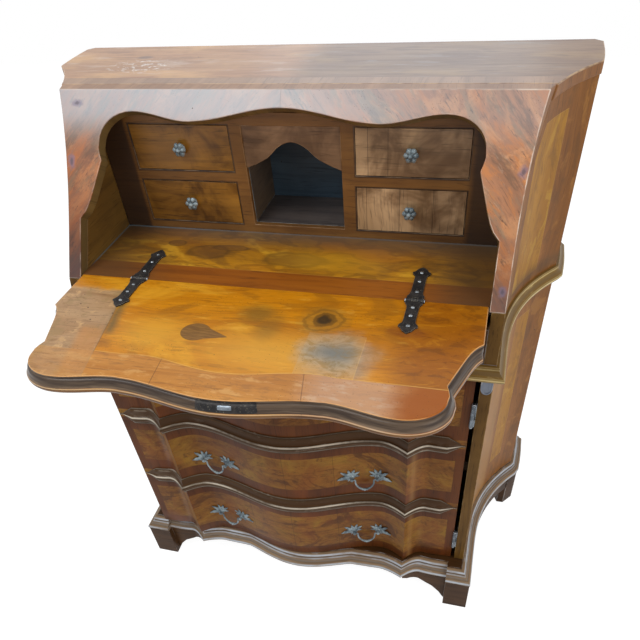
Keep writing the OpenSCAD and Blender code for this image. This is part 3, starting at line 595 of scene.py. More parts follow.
def topWalnut():
    finish, graph = finishGraph("top_walnut_lengthwise")
    place = objectSpot(graph)
    colour, grain = topColour(graph, place)
    rubbed = marked(graph, "edge") * graph.noise(place, 40.0, 2.0).step(0.36, 0.6)
    colour = colour.stained(rubbed * 0.6, 224, 186, 140)
    # the side veneer runs up to the arris
    below = graph.parts(place)[2].fall(0.9975, 0.9985)
    edgeColour = sideColour(graph, place)[0]
    colour = graph.blend(below, colour, edgeColour)
    height = grainHeight(grain)
    rough = 0.3 + grain["streaks"] * 0.1 + below * 0.16
    finishEnd(graph, colour, rough, height, 0.0002, coat=0.12, specular=0.3)
    return finish


# slanted frame: rust, tan and grey streaks run inward and up, mirrored, with a painted pale reflection along
# the head;
# a knot's place across and up, then its half width and half height
frameKnots = ((-0.357, 0.18, 0.006, 0.011), (0.36, 0.184, 0.006, 0.008), (0.355, 0.022, 0.005, 0.007),
    (-0.346, 0.268, 0.009, 0.005))


def frameWalnut():
    finish, graph = finishGraph("slant_frame_walnut")
    place = objectSpot(graph)
    x, y, z = graph.parts(place)
    up = y * slantCos + z * slantSin - (footReach / 1000 + originY / 1000 * slantCos)
    side = abs(x)
    sway = (graph.noise((x * 2, up * 2), 2.0, 2.0) - 0.5) * 0.03
    along = up * 0.77 - side * 0.64 + sway
    across = side * 0.77 + up * 0.64 + sway
    half = x.step(-0.001, 0.001) * 7.0
    grain = grainOf(graph, along, across, 0.0, 3.7, curl=0.02, rings=60.0)
    streak = graph.noise((along * 7, across * 26, half), 1.8, 6.0, 0.7, 0.2)
    grey = graph.noise((along * 5, across * 20, half + 5.0), 1.9, 6.0, 0.7, 0.2)
    fine = graph.noise((along * 26, across * 120, half), 1.5, 4.0, 0.7)
    tones = palette((202, 142, 100), (176, 118, 80), (140, 98, 70), (78, 56, 42))
    colour = woodColour(graph, grain, tones, 0.45, 0.45)
    patch = graph.noise((along * 5, across * 8, half + 9.0), 3.0, 5.0, 0.66, 0.6)
    colour = colour.stained(streak.step(0.46, 0.6) * 0.75, 208, 130, 66)
    colour = colour.stained(patch.step(0.5, 0.62) * 0.6, 224, 160, 106)
    colour = colour.stained(grey.step(0.5, 0.62) * 0.6, 140, 124, 100)
    colour = colour.stained(streak.fall(0.34, 0.46) * 0.6, 106, 78, 56)
    colour = colour.stained(fine.step(0.58, 0.7) * 0.2, 226, 196, 168)
    colour = colour.stained(fine.fall(0.31, 0.43) * patch.step(0.4, 0.56) * 0.75, 66, 44, 32)
    # painted reflection: the head is paled towards blue-grey, strongest at the left
    head = up.step(0.19, 0.26) * (1 - x.step(-0.1, 0.34) * 0.6)
    colour = colour.stained(head * 0.62, 172, 186, 196)
    low = up.fall(0.02, 0.18) * (1 - x.step(-0.05, 0.05) * 0.45)
    colour = colour.shaded(low * 0.95, 150, 130, 112)
    colour = colour.shaded(x.fall(-0.3, -0.26) * up.fall(0.2, 0.26) * 0.9, 218, 196, 172)
    colour = colour.stained(up.fall(0.0, 0.06) * 0.5, 82, 56, 54)
    # small knots near the outer edges
    for centre, rise, wide, tall in frameKnots:
        knot = ovalMark(graph, x, up, centre, rise, wide, tall, 0.6, 1.4, 190.0)
        colour = colour.stained(knot * 0.62, 112, 104, 132)
        core = ovalMark(graph, x, up, centre, rise, wide * 0.45, tall * 0.45, 0.6, 1.2, 220.0)
        colour = colour.stained(core * 0.6, 70, 56, 62)
    specks = graph.cells(place, 260.0).fall(0.05, 0.17) * graph.noise(place, 14.0, 2.0).step(0.5, 0.6)
    colour = colour.stained(specks * 0.7, 84, 56, 40)
    colour = graph.blend(side.at(0.0, 0.0003, 0.0005) * 0.5, colour, tones[3])
    colour = colour.stained(wormHoles(graph, place, 44.0), 40, 26, 20)
    behind = behindSlope(y, z)
    chipped = graph.noise(place, 34.0, 3.0).step(0.34, 0.6)
    rubbed = marked(graph, "edge") * chipped * (0.3 + x.step(0.3, 0.35) * 0.55 + up.step(0.22, 0.24) * 0.15)
    colour = colour.stained(rubbed, 228, 208, 188)
    # the sawn edge round the opening is plain and olive, the outer edge veneered like the sides
    sawn = grainOf(graph, up, side, 0.0, 6.7, rings=70.0)
    oliveTones = palette((128, 104, 58), (102, 82, 46), (74, 58, 34), (42, 32, 20))
    edgeColour = sideColour(graph, place)[0]
    outer = side.step(0.352, 0.358)
    sawnColour = graph.blend(outer, woodColour(graph, sawn, oliveTones, 0.4, 0.5), edgeColour)
    back = behind.step(0.0012, 0.0022)
    colour = graph.blend(back, colour, sawnColour)
    lidColour = topColour(graph, place)[0]
    onTop = z.step(0.9986, 0.9994) * behind.step(0.0004, 0.001)
    colour = graph.blend(onTop, colour, lidColour)
    height = grainHeight(grain)
    rough = 0.3 + grain["streaks"] * 0.1 + back * 0.2
    finishEnd(graph, colour, rough, height, 0.00022, coat=0.18, specular=0.4)
    return finish


# writing surface, seen on the open fall: x from the middle, d from the hinge
def writingVeneer():
    finish, graph = finishGraph("fall_veneer_golden")
    place = objectSpot(graph)
    x, y, z = graph.parts(place)
    d = hingeMetres - y
    grain = grainOf(graph, x, d, z * 0.3, 1.3, curl=0.035, rings=44.0)
    tones = palette((222, 142, 14), (200, 122, 10), (166, 94, 10), (102, 58, 12))
    colour = woodColour(graph, grain, tones, 0.35, 0.5)
    glow = graph.noise((x * 2.2, d * 5), 2.2, 4.0, 0.62, 0.9)
    colour = colour.mottled(glow, (0.5, 0.64, 0.6), (240, 172, 44), (0.36, 0.46, 0.6), (160, 98, 20))
    fine = graph.noise((x * 9, d * 40), 2.0, 5.0, 0.7)
    colour = colour.mottled(fine, (0.54, 0.66, 0.45), (136, 82, 18), (0.34, 0.44, 0.35), (246, 186, 72))
    cloudy = graph.noise((x, d), 14.0, 5.0, 0.66)

    def spotAt(cx, cd, rx, rd, soft=0.35, warp=0.2):
        return ovalMark(graph, x, d, cx, cd, rx, rd, soft, warp)

    # brighter middle, olive smudge beside the knot, deep orange right end
    bright = spotAt(0.06, 0.155, 0.1, 0.04, 0.8, 0.4).most(spotAt(-0.14, 0.14, 0.05, 0.035, 0.8, 0.4))
    colour = colour.stained(bright * 0.6, 244, 178, 52)
    smear = spotAt(0.004, 0.068, 0.026, 0.022, 0.7, 0.5).most(spotAt(0.03, 0.095, 0.02, 0.03, 0.7, 0.5) * 0.7)
    colour = colour.stained(smear * 0.6, 104, 84, 36)
    rightEnd = x.step(0.2, 0.26)
    burr = graph.noise((x, d * 2.2), 26.0, 5.0, 0.68, 0.7)
    colour = colour.stained(rightEnd * 0.8, 156, 86, 4)
    colour = colour.stained(rightEnd * burr.step(0.52, 0.62) * 0.6, 122, 68, 10)
    colour = colour.stained(rightEnd * burr.fall(0.36, 0.45) * 0.45, 206, 134, 22)
    # pale pinkish panel at the right with a soft far end
    panel = x.step(0.177, 0.179) * (x + cloudy * 0.08).fall(0.205, 0.255)
    panel = panel * (d + cloudy * 0.05).step(0.125, 0.16)
    panelColour = graph.blend(cloudy.step(0.4, 0.6), paint(168, 128, 92), paint(208, 174, 146))
    colour = graph.blend(panel * 0.72, colour, panelColour)
    # blue grey bloom left of it, inside its own square of veneer
    square = x.between(0.094, 0.178, 0.0006) * d.fall(0.195, 0.196) * d.step(0.098, 0.102)
    colour = colour.stained(square * 0.3, 214, 176, 116)
    swirl = graph.noise((x * 1.2, d * 1.8, 3.0), 30.0, 5.0, 0.7, 1.4)
    bloom = spotAt(0.14, 0.146, 0.044, 0.042, 0.6, 1.2)
    bloomColour = graph.blend(swirl.step(0.4, 0.6), paint(128, 122, 96), paint(180, 170, 148))
    colour = graph.blend(bloom * 0.72, colour, bloomColour)
    core = spotAt(0.14, 0.142, 0.026, 0.02, 0.8, 1.4) * swirl.step(0.3, 0.55)
    colour = colour.stained(core * 0.72, 100, 110, 112)
    seams = (x.at(0.178, 0.0004, 0.0006) * d.between(0.102, 0.196, 0.001),
        d.at(0.195, 0.0006, 0.0008) * x.between(0.1, 0.178, 0.002))
    for mark in seams:
        colour = colour.stained(mark * 0.4, 232, 190, 126)
    # knot with its rings
    wobble = (graph.noise((x, d), 26.0, 4.0, 0.6) - 0.5) * 0.9
    ring = (((x - 0.107) / 0.036) ** 2.0 + ((d - 0.068) / 0.031) ** 2.0) ** 0.5 + wobble
    rings = ((ring * 17).sine() * 0.5 + 0.5).step(0.35, 0.9) * ring.fall(0.6, 1.3)
    colour = colour.stained(ring.fall(0.7, 1.35) * 0.55, 158, 114, 40)
    colour = colour.stained(rings * 0.5, 104, 72, 26)
    colour = colour.stained(ring.fall(0.16, 0.62) * 0.92, 58, 44, 26)
    # border along the front and left, with its joints
    curve = ((x + 0.005) * (math.pi / 0.135)).maths("COSINE") * 0.0095
    near = abs(x).fall(0.13, 0.17)
    lead = 0.2 + curve * near + (1 - near) * -0.007
    border = (d - lead).step(-0.0007, 0.0007)
    borderGrain = grainOf(graph, x, d, z * 0.3, 9.3, curl=0.015, rings=80.0)
    borderTones = palette((218, 150, 68), (200, 130, 50), (168, 102, 36), (108, 66, 28))
    borderColour = woodColour(graph, borderGrain, borderTones, 0.4, 0.55)
    tide = graph.noise((x * 2.2, d * 6.0, 7.0), 9.0, 5.0, 0.68)
    borderColour = borderColour.mottled(tide, (0.52, 0.64, 0.5), (232, 178, 104),
        (0.36, 0.46, 0.5), (158, 104, 50))
    pink = x.between(0.12, 0.25, 0.03)
    borderColour = borderColour.stained(pink * 0.5, 212, 170, 140)
    borderColour = borderColour.stained(pink * tide.step(0.5, 0.62) * 0.22, 196, 190, 184)
    farEnd = (x + cloudy * 0.06).step(0.24, 0.3)
    borderColour = borderColour.stained(farEnd * 0.95, 164, 84, 0)
    colour = graph.blend(border, colour, borderColour)
    colour = colour.stained((d - lead).at(-0.0012, 0.0007, 0.0008) * 0.55, 236, 182, 98)
    for joint, lean in ((-0.1186, -0.0976), (0.0748, -0.1887)):
        cut = (x + d * lean - joint).at(0.0, 0.0005, 0.0006) * border
        colour = colour.stained(cut * 0.7, 96, 58, 30)
    # worn grey-tan left end beyond the mitre
    mitre = x + 0.232 - (d - 0.075) * 0.188
    leftEnd = mitre.fall(-0.0008, 0.0008) * (1 - border * 0.4)
    crossGrain = grainOf(graph, x, d, z * 0.3, 12.3, curl=0.02, rings=60.0)
    endTones = palette((198, 160, 118), (176, 136, 94), (146, 110, 74), (96, 72, 50))
    endColour = woodColour(graph, crossGrain, endTones, 0.6, 0.5)
    grime = graph.noise((x * 2, d * 2), 14.0, 5.0, 0.68)
    endColour = endColour.mottled(grime, (0.5, 0.62, 0.5), (152, 126, 80),
        (0.34, 0.45, 0.6), (232, 186, 128))
    scorched = graph.noise((x * 16, d * 26, 3.0), 2.0, 5.0, 0.7, 0.9)
    endColour = endColour.stained(scorched.fall(0.34, 0.47) * 0.5, 126, 92, 58)
    wedge = mitre.between(-0.04, 0.0, 0.008) * (d + scorched * 0.04).step(0.15, 0.17)
    endColour = endColour.stained(wedge * 0.55, 206, 138, 68)
    colour = graph.blend(leftEnd * (d + grime * 0.03).step(0.045, 0.06) * 0.92, colour, endColour)
    shadow = (mitre + (cloudy - 0.5) * 0.02).at(0.008, 0.007, 0.009) * d.between(0.06, 0.15, 0.012)
    colour = colour.stained(shadow * 0.75, 98, 88, 46)
    colour = colour.stained(mitre.at(0.0, 0.0007, 0.0008) * d.between(0.09, 0.195, 0.01) * 0.5, 98, 72, 34)
    # let-in drop of darker wood, its point to the right
    drop = graph.joined(x + 0.068, d - 0.126)
    turned = graph.node("ShaderNodeVectorRotate", {"rotation_type": "Z_AXIS"},
        {"Vector": drop, "Angle": -0.1})
    run, rise = graph.parts(turned)[:2]
    roundEnd = (((run + 0.008) / 0.023) ** 2.0 + (rise / 0.0205) ** 2.0) ** 0.5
    half = ((0.045 - run) * 0.36).most(0.0)
    tail = (abs(rise) - half).fall(-0.0006, 0.0006) * run.step(-0.002, 0.001)
    inset = roundEnd.fall(0.97, 1.03).most(tail * run.fall(0.043, 0.045))
    dropGrain = graph.noise((run * 30, rise * 260), 1.0, 4.0, 0.6).step(0.35, 0.65)
    colour = graph.blend(inset, colour, graph.blend(dropGrain, paint(122, 82, 34), paint(152, 108, 50)))
    colour = colour.stained(inset.at(0.5, 0.25, 0.2) * 0.7, 78, 50, 24)
    colour = colour.stained(wormHoles(graph, place, 44.0, 0.07, 0.6), 54, 30, 14)
    specks = graph.cells(place, 210.0).fall(0.06, 0.18) * graph.noise(place, 12.0, 3.0).step(0.46, 0.58)
    colour = colour.stained(specks * 0.75, 92, 52, 16)
    scuffs = graph.noise((x * 30, d * 160), 1.6, 4.0, 0.72).step(0.62, 0.72)
    colour = colour.stained(scuffs * 0.4, 112, 66, 22)
    # worn stain round the right strap's tip
    stain = ovalMark(graph, x, d, 0.232, 0.078, 0.028, 0.012, 0.5, 1.2, 60.0)
    colour = colour.stained(stain * 0.6, 128, 62, 22)
    # rim, cove and lip of the moulded edge; the cove is painted dark as shade under the rim, with a darker
    # line of painted shade in its depth
    edge = marked(graph, "edge")
    edgeGrain = graph.noise((x * 14, d * 14, z * 260), 1.0, 3.0, 0.6)
    coveColour = graph.blend(edgeGrain.step(0.35, 0.65), paint(74, 58, 46), paint(128, 106, 84))
    colour = graph.blend(edge.between(0.2, 0.6, 0.05), colour, coveColour)
    colour = colour.stained(edge.between(0.34, 0.405, 0.01) * 0.6, 44, 32, 26)
    lipColour = graph.blend(edgeGrain.step(0.4, 0.6), paint(92, 58, 30), paint(134, 92, 48))
    colour = graph.blend(edge.step(0.75, 0.9), colour, lipColour)
    # figured veneer of the closed desk's outer face, with the same border
    flames = graph.noise((abs(x) * 9 + d * 9, (d - abs(x)) * 3.4), 2.4, 6.0, 0.68, 1.2)
    outerTones = palette((190, 116, 60), (160, 94, 46), (122, 68, 34), (66, 38, 22))
    outer = woodColour(graph, grain, outerTones, 0.5, 0.5)
    outer = outer.mottled(flames, (0.48, 0.64, 0.7), (198, 134, 74), (0.34, 0.48, 0.75), (96, 58, 36))
    outerBorder = graph.blend(borderGrain["streaks"], paint(96, 56, 28), paint(138, 86, 44))
    outer = graph.blend(border * 0.7, outer, outerBorder)
    outer = outer.stained((d - lead).at(0.0, 0.0008, 0.0008) * 0.7, 56, 34, 22)
    colour = graph.blend(edge.step(1.2, 1.3), colour, outer)
    # painted highlights along the rim and along the lip
    colour = colour.stained(edge.at(0.12, 0.04, 0.03) * edgeGrain.step(0.3, 0.5) * 0.8, 236, 178, 112)
    lipHighlight = edge.at(0.72, 0.06, 0.04) * edgeGrain.step(0.25, 0.5)
    colour = colour.stained(lipHighlight * 0.9, 214, 188, 150)
    height = grainHeight(grain, 0.4)
    finishEnd(graph, colour, 0.34 + (glow - 0.5) * 0.14, height, 0.00022, coat=0.1, specular=0.2)
    return finish


# dark ovals in the bed: the middle across and back from the hinge, then half the size each way
bedOvals = ((-0.146, 0.1, 0.034, 0.02), (-0.11, 0.117, 0.03, 0.008), (-0.215, 0.122, 0.014, 0.009),
    (0.012, 0.092, 0.05, 0.02))


def bedVeneer():
    finish, graph = finishGraph("bed_veneer_golden")
    place = objectSpot(graph)
    x, y, z = graph.parts(place)
    b = y - hingeMetres
    grain = grainOf(graph, x, b, z * 0.3, 5.3, curl=0.05, rings=40.0)
    tones = palette((206, 142, 30), (176, 116, 20), (134, 84, 18), (72, 46, 16))
    colour = woodColour(graph, grain, tones, 0.4, 0.55)
    glow = graph.noise((x * 2.4, b * 4.5), 2.4, 4.0, 0.62, 1.1)
    colour = colour.mottled(glow, (0.52, 0.62, 0.7), (232, 172, 46), (0.36, 0.47, 0.7), (126, 84, 28))
    ring = graph.noise((x * 3, b * 6, 4.0), 2.0, 3.0)
    colour = colour.stained(((ring * 46).sine() * 0.5 + 0.5).step(0.7, 0.95) * 0.45, 108, 70, 22)
    wisps = graph.noise((x * 8, b * 34, 1.0), 2.2, 5.0, 0.7, 0.8)
    colour = colour.mottled(wisps, (0.54, 0.64, 0.5), (112, 76, 28), (0.34, 0.44, 0.25), (226, 162, 46))
    colour = colour.stained(ring.step(0.5, 0.66) * 0.35, 186, 106, 20)
    for cx, cb, rx, rb in bedOvals:
        oval = ovalMark(graph, x, b, cx, cb, rx, rb, 0.5, 0.9, 26.0)
        colour = colour.stained(oval * 0.7, 104, 68, 34)
        colour = colour.stained(oval.at(0.45, 0.2, 0.2) * 0.5, 74, 50, 26)
    gleam = ovalMark(graph, x, b, 0.07, 0.094, 0.075, 0.03, 0.8, 0.6, 18.0)
    colour = colour.stained(gleam * 0.4, 228, 168, 44)
    strip = b.fall(0.049, 0.0505)
    stripGrain = grainOf(graph, x, b, z * 0.3, 15.3, curl=0.01, rings=80.0)
    stripTones = palette((172, 100, 26), (152, 82, 20), (120, 62, 18), (72, 38, 14))
    stripColour = woodColour(graph, stripGrain, stripTones, 0.5, 0.55)
    colour = graph.blend(strip, colour, stripColour)
    colour = colour.stained(b.at(0.05, 0.0004, 0.0006) * 0.6, 206, 150, 66)
    # the rear of the bed, under the gallery, is greyed and darker: dust and painted shade
    dustAndShade = (b + glow * 0.05).step(0.13, 0.2) * 0.75
    colour = colour.stained(dustAndShade, 86, 76, 68)
    # painted shade: both ends of the bed are darkened beside the cheeks
    sides = x.step(0.2, 0.32) * 0.75 + (x + b * 0.5).fall(-0.29, -0.12) * 0.75
    colour = colour.stained(sides.least(0.8), 86, 64, 42)
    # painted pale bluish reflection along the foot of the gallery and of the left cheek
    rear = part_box("gallery_face")[0][1] - hingeMetres
    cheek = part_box("gallery_face")[0][0]
    foot = x.at(cheek + 0.001, 0.0016, 0.0016) * b.step(0.02, 0.06)
    colour = colour.stained(foot * 0.8, 118, 134, 138)
    rearReflection = b.step(rear - 0.005, rear - 0.0025) * (0.3 + x.fall(-0.3, -0.1) * 0.5)
    colour = colour.stained(rearReflection, 112, 134, 146)
    colour = colour.stained(wormHoles(graph, place, 44.0, 0.07, 0.6), 48, 28, 14)
    colour = colour.stained(marked(graph, "edge") * 0.4, 206, 160, 90)
    height = grainHeight(grain, 0.4)
    finishEnd(graph, colour, 0.36 + (glow - 0.5) * 0.12, height, 0.00022, coat=0.12, specular=0.3)
    return finish


# curved front, mapped by the length of the curve and the height; rows of sham drawers between the mouldings
doorRows = ((0.1282, 0.2856), (0.327, 0.4656), (0.507, 0.6398))


def doorVeneer():
    finish, graph = finishGraph("door_veneer_figured")
    u, v = graph.parts(mappedSpot(graph))[:2]
    place = graph.joined(u, v)
    grain = grainOf(graph, u, v, 0.0, 2.6, curl=0.06, rings=34.0)
    fieldTones = palette((156, 104, 42), (128, 82, 32), (96, 58, 24), (50, 30, 14))
    field = woodColour(graph, grain, fieldTones, 0.5, 0.6)
    blot = graph.noise((u * 4.2, v * 6.0, 2.0), 2.6, 6.0, 0.68, 1.1)
    field = field.stained(blot.step(0.5, 0.66) * 0.7, 160, 122, 44)
    burl = graph.noise((u * 13, v * 15, 4.0), 3.0, 6.0, 0.66, 2.4)
    field = field.mottled(burl, (0.52, 0.62, 0.5), (140, 102, 44), (0.36, 0.45, 0.5), (78, 52, 24))
    field = field.stained(blot.fall(0.38, 0.47) * 0.75, 84, 48, 20)
    wisps = graph.noise((u * 9, v * 30, 6.0), 2.2, 5.0, 0.7, 0.9)
    field = field.mottled(wisps, (0.55, 0.66, 0.35), (76, 48, 20), (0.33, 0.43, 0.2), (186, 146, 66))
    cross = grainOf(graph, v, u, 0.0, 5.6, curl=0.02, rings=75.0)
    bandTones = palette((112, 64, 28), (92, 50, 22), (68, 37, 17), (38, 22, 12))
    band = woodColour(graph, cross, bandTones, 0.5, 0.45)
    colour = field
    for low, high in doorRows:
        row = v.between(low - 0.01, high + 0.01, 0.001)
        inside = v.between(low + 0.024, high - 0.024, 0.0006) * abs(u).fall(0.3395, 0.3405)
        colour = graph.blend(row * (1 - inside), colour, band)
        colour = colour.stained(inside.at(0.5, 0.3, 0.2) * row * 0.6, 54, 34, 22)
    for cut, dark in ((0.0, 0.6), (0.098, 0.6), (-0.098, 0.6), (0.262, 0.7), (-0.262, 0.7)):
        colour = colour.stained(u.at(cut, 0.0004, 0.0007) * dark, 44, 27, 18)
    warm = graph.noise((u * 2, v * 2, 8.0), 3.0, 3.0).step(0.38, 0.68)
    colour = graph.multiply(0.6, colour, graph.blend(warm, paint(226, 206, 182), paint(255, 250, 240)))
    red = graph.noise((u * 5, v * 3, 3.0), 3.0, 3.0).step(0.52, 0.66)
    colour = colour.stained(red * 0.35, 124, 62, 26)
    # painted highlight along the two ridges of the front
    colour = colour.stained(abs(u).at(0.262, 0.003, 0.009) * 0.35, 204, 156, 92)
    # painted shade just under the moulding over each row
    for low, high in doorRows:
        colour = colour.stained(v.at(high - 0.004, 0.004, 0.014) * 0.4, 52, 32, 18)
    colour = colour.stained(wormHoles(graph, place, 36.0, 0.06, 0.6), 30, 18, 12)
    height = grainHeight(grain, 0.4)
    finishEnd(graph, colour, 0.36 + (blot - 0.5) * 0.16, height, 0.0002, coat=0.05, specular=0.1)
    return finish


# mouldings: mapped along the run and round the profile, darkened in the hollows with grime and painted shade,
# with bands of painted shade and tone, and painted highlights over light wear along the given lines
def mouldingWalnut(name, tones, rubbed, lines, shades, seed=0.0):
    finish, graph = finishGraph(name)
    u, v = graph.parts(mappedSpot(graph))[:2]
    crest = marked(graph, "crest")
    grain = grainOf(graph, u, v, 0.0, seed, curl=0.01, rings=120.0)
    colour = woodColour(graph, grain, tones, 0.4, 0.5)
    patch = graph.noise((u * 7, v * 20, seed), 2.4, 5.0, 0.66)
    # the hollows are darkened: grime and painted shade
    grimeAndShade = crest.fall(0.1, 0.5) * 0.7
    colour = graph.blend(grimeAndShade, colour, tones[3])
    colour = graph.blend(patch.step(0.56, 0.68) * 0.35 * (1 - grimeAndShade), colour, rubbed)
    wander = v + (patch - 0.5) * 0.0008
    # bands of painted shade and tone round the profile
    for where, reach, shade in shades:
        colour = graph.blend(wander.at(where / 1000, reach / 1000, 0.0014) * 0.85, colour, shade)
    # painted highlights over light wear along the given lines
    worn = graph.number(0.0)
    for where, reach, strength in lines:
        worn = worn.most(wander.at(where / 1000, reach / 1000, 0.0013) * strength)
    worn = worn * (patch.step(0.3, 0.56) * 0.75 + 0.2)
    colour = graph.blend(worn, colour, rubbed)
    rough = 0.38 - worn * 0.1 + grimeAndShade * 0.2
    finishEnd(graph, colour, rough, grain["streaks"] * 0.5 + patch * 0.4, 0.0003, coat=0.03, specular=0.12)
    return finish


def metalFinish(name, base, worn, tarnish, metallic, roughness, lump, scale=180.0):
    finish, graph = finishGraph(name)
    place = objectSpot(graph)
    clouds = graph.noise(place, scale * 0.3, 4.0, 0.6)
    fine = graph.noise(place, scale * 2.2, 3.0, 0.6)
    colour = graph.blend(clouds.step(0.35, 0.65), base, tarnish)
    bright = (marked(graph, "edge") * 0.85).most(fine.step(0.6, 0.74) * 0.45)
    colour = graph.blend(bright, colour, worn)
    rough = roughness + (clouds - 0.5) * 0.25 - bright * 0.08
    finishEnd(graph, colour, rough, clouds * 0.7 + fine * 0.3, lump, metallic=metallic)
    return finish


topFinish = topWalnut()
frameFinish = frameWalnut()
sideFinish = sideVeneer()
fallFinish = writingVeneer()
bedFinish = bedVeneer()
doorFinish = doorVeneer()
stileFinish = veneerFinish("stile_walnut_upright",
    palette((134, 98, 44), (108, 78, 34), (82, 56, 26), (44, 29, 15)), (2, 0, 1),
    rings=70.0, roughness=0.46, coat=0.04, specular=0.1, wear=0.45, seed=1.7, rubbed=(186, 154, 100))
darkFinish = veneerFinish("base_walnut_dark",
    palette((88, 58, 30), (68, 44, 22), (50, 32, 17), (24, 16, 10)), (0, 2, 1),
    rings=50.0, roughness=0.46, coat=0.04, specular=0.1, wear=0.7, seed=2.9, rubbed=(160, 152, 146))
carcassFinish = veneerFinish("carcass_wood_plain",
    palette((134, 104, 70), (112, 84, 54), (92, 66, 42), (62, 44, 28)), (0, 2, 1),
    rings=36.0, roughness=0.62, coat=0.0, wear=0.1, seed=6.3)
galleryEnds = [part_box("drawer_tl")[0][0] - 0.008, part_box("drawer_tr")[1][0] + 0.008]


# painted shade: the two end posts stand in the dark of the desk's corners, and a ring of painted shade lies
# in the gap round each drawer
def galleryPaintedShade(parts):
    x, z = parts[0], parts[2]
    leftEnd, rightEnd = galleryEnds
    darkening = x.fall(leftEnd - 0.004, leftEnd + 0.004).most(x.step(rightEnd - 0.012, rightEnd + 0.004)) * 0.8
    for node in ("drawer_tl", "drawer_bl", "drawer_tr", "drawer_br"):
        lo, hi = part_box(node)
        across = abs(x - (lo[0] + hi[0]) / 2) - (hi[0] - lo[0]) / 2
        upward = abs(z - (lo[2] + hi[2]) / 2) - (hi[2] - lo[2]) / 2
        darkening = darkening.most(across.most(upward).fall(0.0012, 0.0044) * 0.92)
    return darkening


# the gallery's face takes painted shade at its ends and round its drawers
insideFinish = veneerFinish("desk_inside_walnut",
    palette((152, 108, 56), (126, 86, 44), (94, 62, 34), (40, 30, 26)), (0, 2, 1),
    rings=54.0, roughness=0.42, coat=0.08, wear=0.35, seed=3.3, rubbed=(172, 140, 104), grimeAndShade=galleryPaintedShade)
valanceFinish = veneerFinish("valance_walnut",
    palette((176, 138, 102), (144, 112, 82), (108, 82, 60), (48, 36, 30)), (0, 2, 1),
    rings=54.0, roughness=0.42, coat=0.08, wear=0.5, seed=4.3, rubbed=(186, 158, 122), smoke=0.7)
# the pigeonhole back is painted dark blue-grey: painted shade with a bluish sheen deep in the gallery; the
# back's and the walls' worn edges take a bluish tint, painted reflection over the wear
holeBackShadeFinish = veneerFinish("pigeonhole_dark_wood",
    palette((78, 100, 116), (62, 82, 98), (46, 62, 76), (26, 34, 42)), (0, 2, 1),
    rings=40.0, roughness=0.5, coat=0.05, wear=0.8, seed=13.3, rubbed=(134, 158, 172))
holeWallFinish = veneerFinish("pigeonhole_wall_walnut",
    palette((118, 98, 76), (94, 80, 66), (72, 66, 62), (36, 34, 36)), (1, 2, 0),
    rings=48.0, roughness=0.46, coat=0.08, wear=0.8, seed=15.3, rubbed=(134, 158, 172))
# the floor's grey-brown tones stand partly for painted sheen
holeFloorFinish = veneerFinish("pigeonhole_floor_walnut",
    palette((112, 102, 96), (88, 80, 78), (66, 62, 64), (34, 34, 38)), (0, 1, 2),
    rings=48.0, roughness=0.36, coat=0.2, wear=0.8, seed=17.3, rubbed=(150, 150, 140))
cheekFinish = veneerFinish("cheek_walnut",
    palette((150, 114, 52), (116, 86, 38), (80, 60, 30), (40, 30, 17)), (1, 2, 0),
    rings=60.0, roughness=0.45, coat=0.08, wear=0.15, seed=8.3)
backFinish = veneerFinish("back_boards",
    palette((128, 96, 62), (104, 76, 48), (86, 60, 38), (58, 40, 26)), (2, 0, 1),
    [(0, -0.3), (0, -0.1), (0, 0.1), (0, 0.3)], rings=34.0, roughness=0.65, coat=0.0, wear=0.1, seed=5.2)
# rubbed lines, painted highlights over light wear: distance round the profile, half width and strength;
# shades, bands of painted shade and tone: distance, half width and tone
frontMouldFinish = mouldingWalnut("front_moulding_walnut",
    palette((98, 70, 40), (76, 52, 28), (54, 36, 20), (24, 17, 12)), paint(232, 220, 198),
    ((2.4, 0.5, 0.3), (24.2, 1.5, 0.95), (43.6, 0.6, 0.4)),
    ((34.5, 4.0, paint(90, 56, 22)), (49.0, 2.4, paint(98, 64, 26)), (14.0, 6.0, paint(72, 46, 22))), 3.1)
waistFinish = mouldingWalnut("waist_moulding_walnut",
    palette((150, 116, 56), (120, 90, 42), (88, 64, 32), (40, 32, 20)), paint(228, 204, 142),
    ((20.0, 1.3, 1.0), (15.6, 0.5, 0.5), (23.2, 0.6, 0.6), (37.6, 1.0, 0.85), (41.4, 0.5, 0.5)),
    ((10.0, 4.0, paint(92, 64, 32)), (30.5, 3.2, paint(124, 98, 60))), 6.1)
baseMouldFinish = mouldingWalnut("base_moulding_walnut",
    palette((164, 136, 104), (128, 104, 78), (92, 72, 54), (42, 34, 28)), paint(204, 212, 220),
    ((28.0, 2.4, 0.9), (21.0, 0.6, 0.35), (45.0, 1.6, 0.6), (54.5, 2.4, 0.9)),
    ((10.0, 6.0, paint(124, 84, 48)), (38.5, 2.4, paint(134, 120, 106))), 8.1)
dropFinish = veneerFinish("corner_drop_pale",
    palette((150, 158, 172), (132, 142, 160), (112, 118, 132), (80, 82, 92)), (2, 0, 1),
    rings=90.0, roughness=0.4, coat=0.2, wear=1.0, seed=21.0, rubbed=(214, 208, 188))
ironFinish = metalFinish("black_iron", paint(34, 33, 34), paint(176, 168, 146), paint(58, 54, 52),
    metallic=0.3, roughness=0.5, lump=0.0006)
nailFinish = metalFinish("bright_nails", paint(150, 156, 160), paint(236, 240, 244), paint(104, 108, 112),
    metallic=0.9, roughness=0.3, lump=0.0002)
steelFinish = metalFinish("worn_steel", paint(132, 140, 148), paint(226, 232, 238), paint(82, 88, 94),
    metallic=0.8, roughness=0.36, lump=0.0003)
pewterFinish = metalFinish("grey_pewter", paint(156, 170, 174), paint(226, 234, 236), paint(92, 104, 110),
    metallic=0.25, roughness=0.42, lump=0.0007, scale=260.0)
print("finishes ready")

# trees for what runs along a path and for what repeats


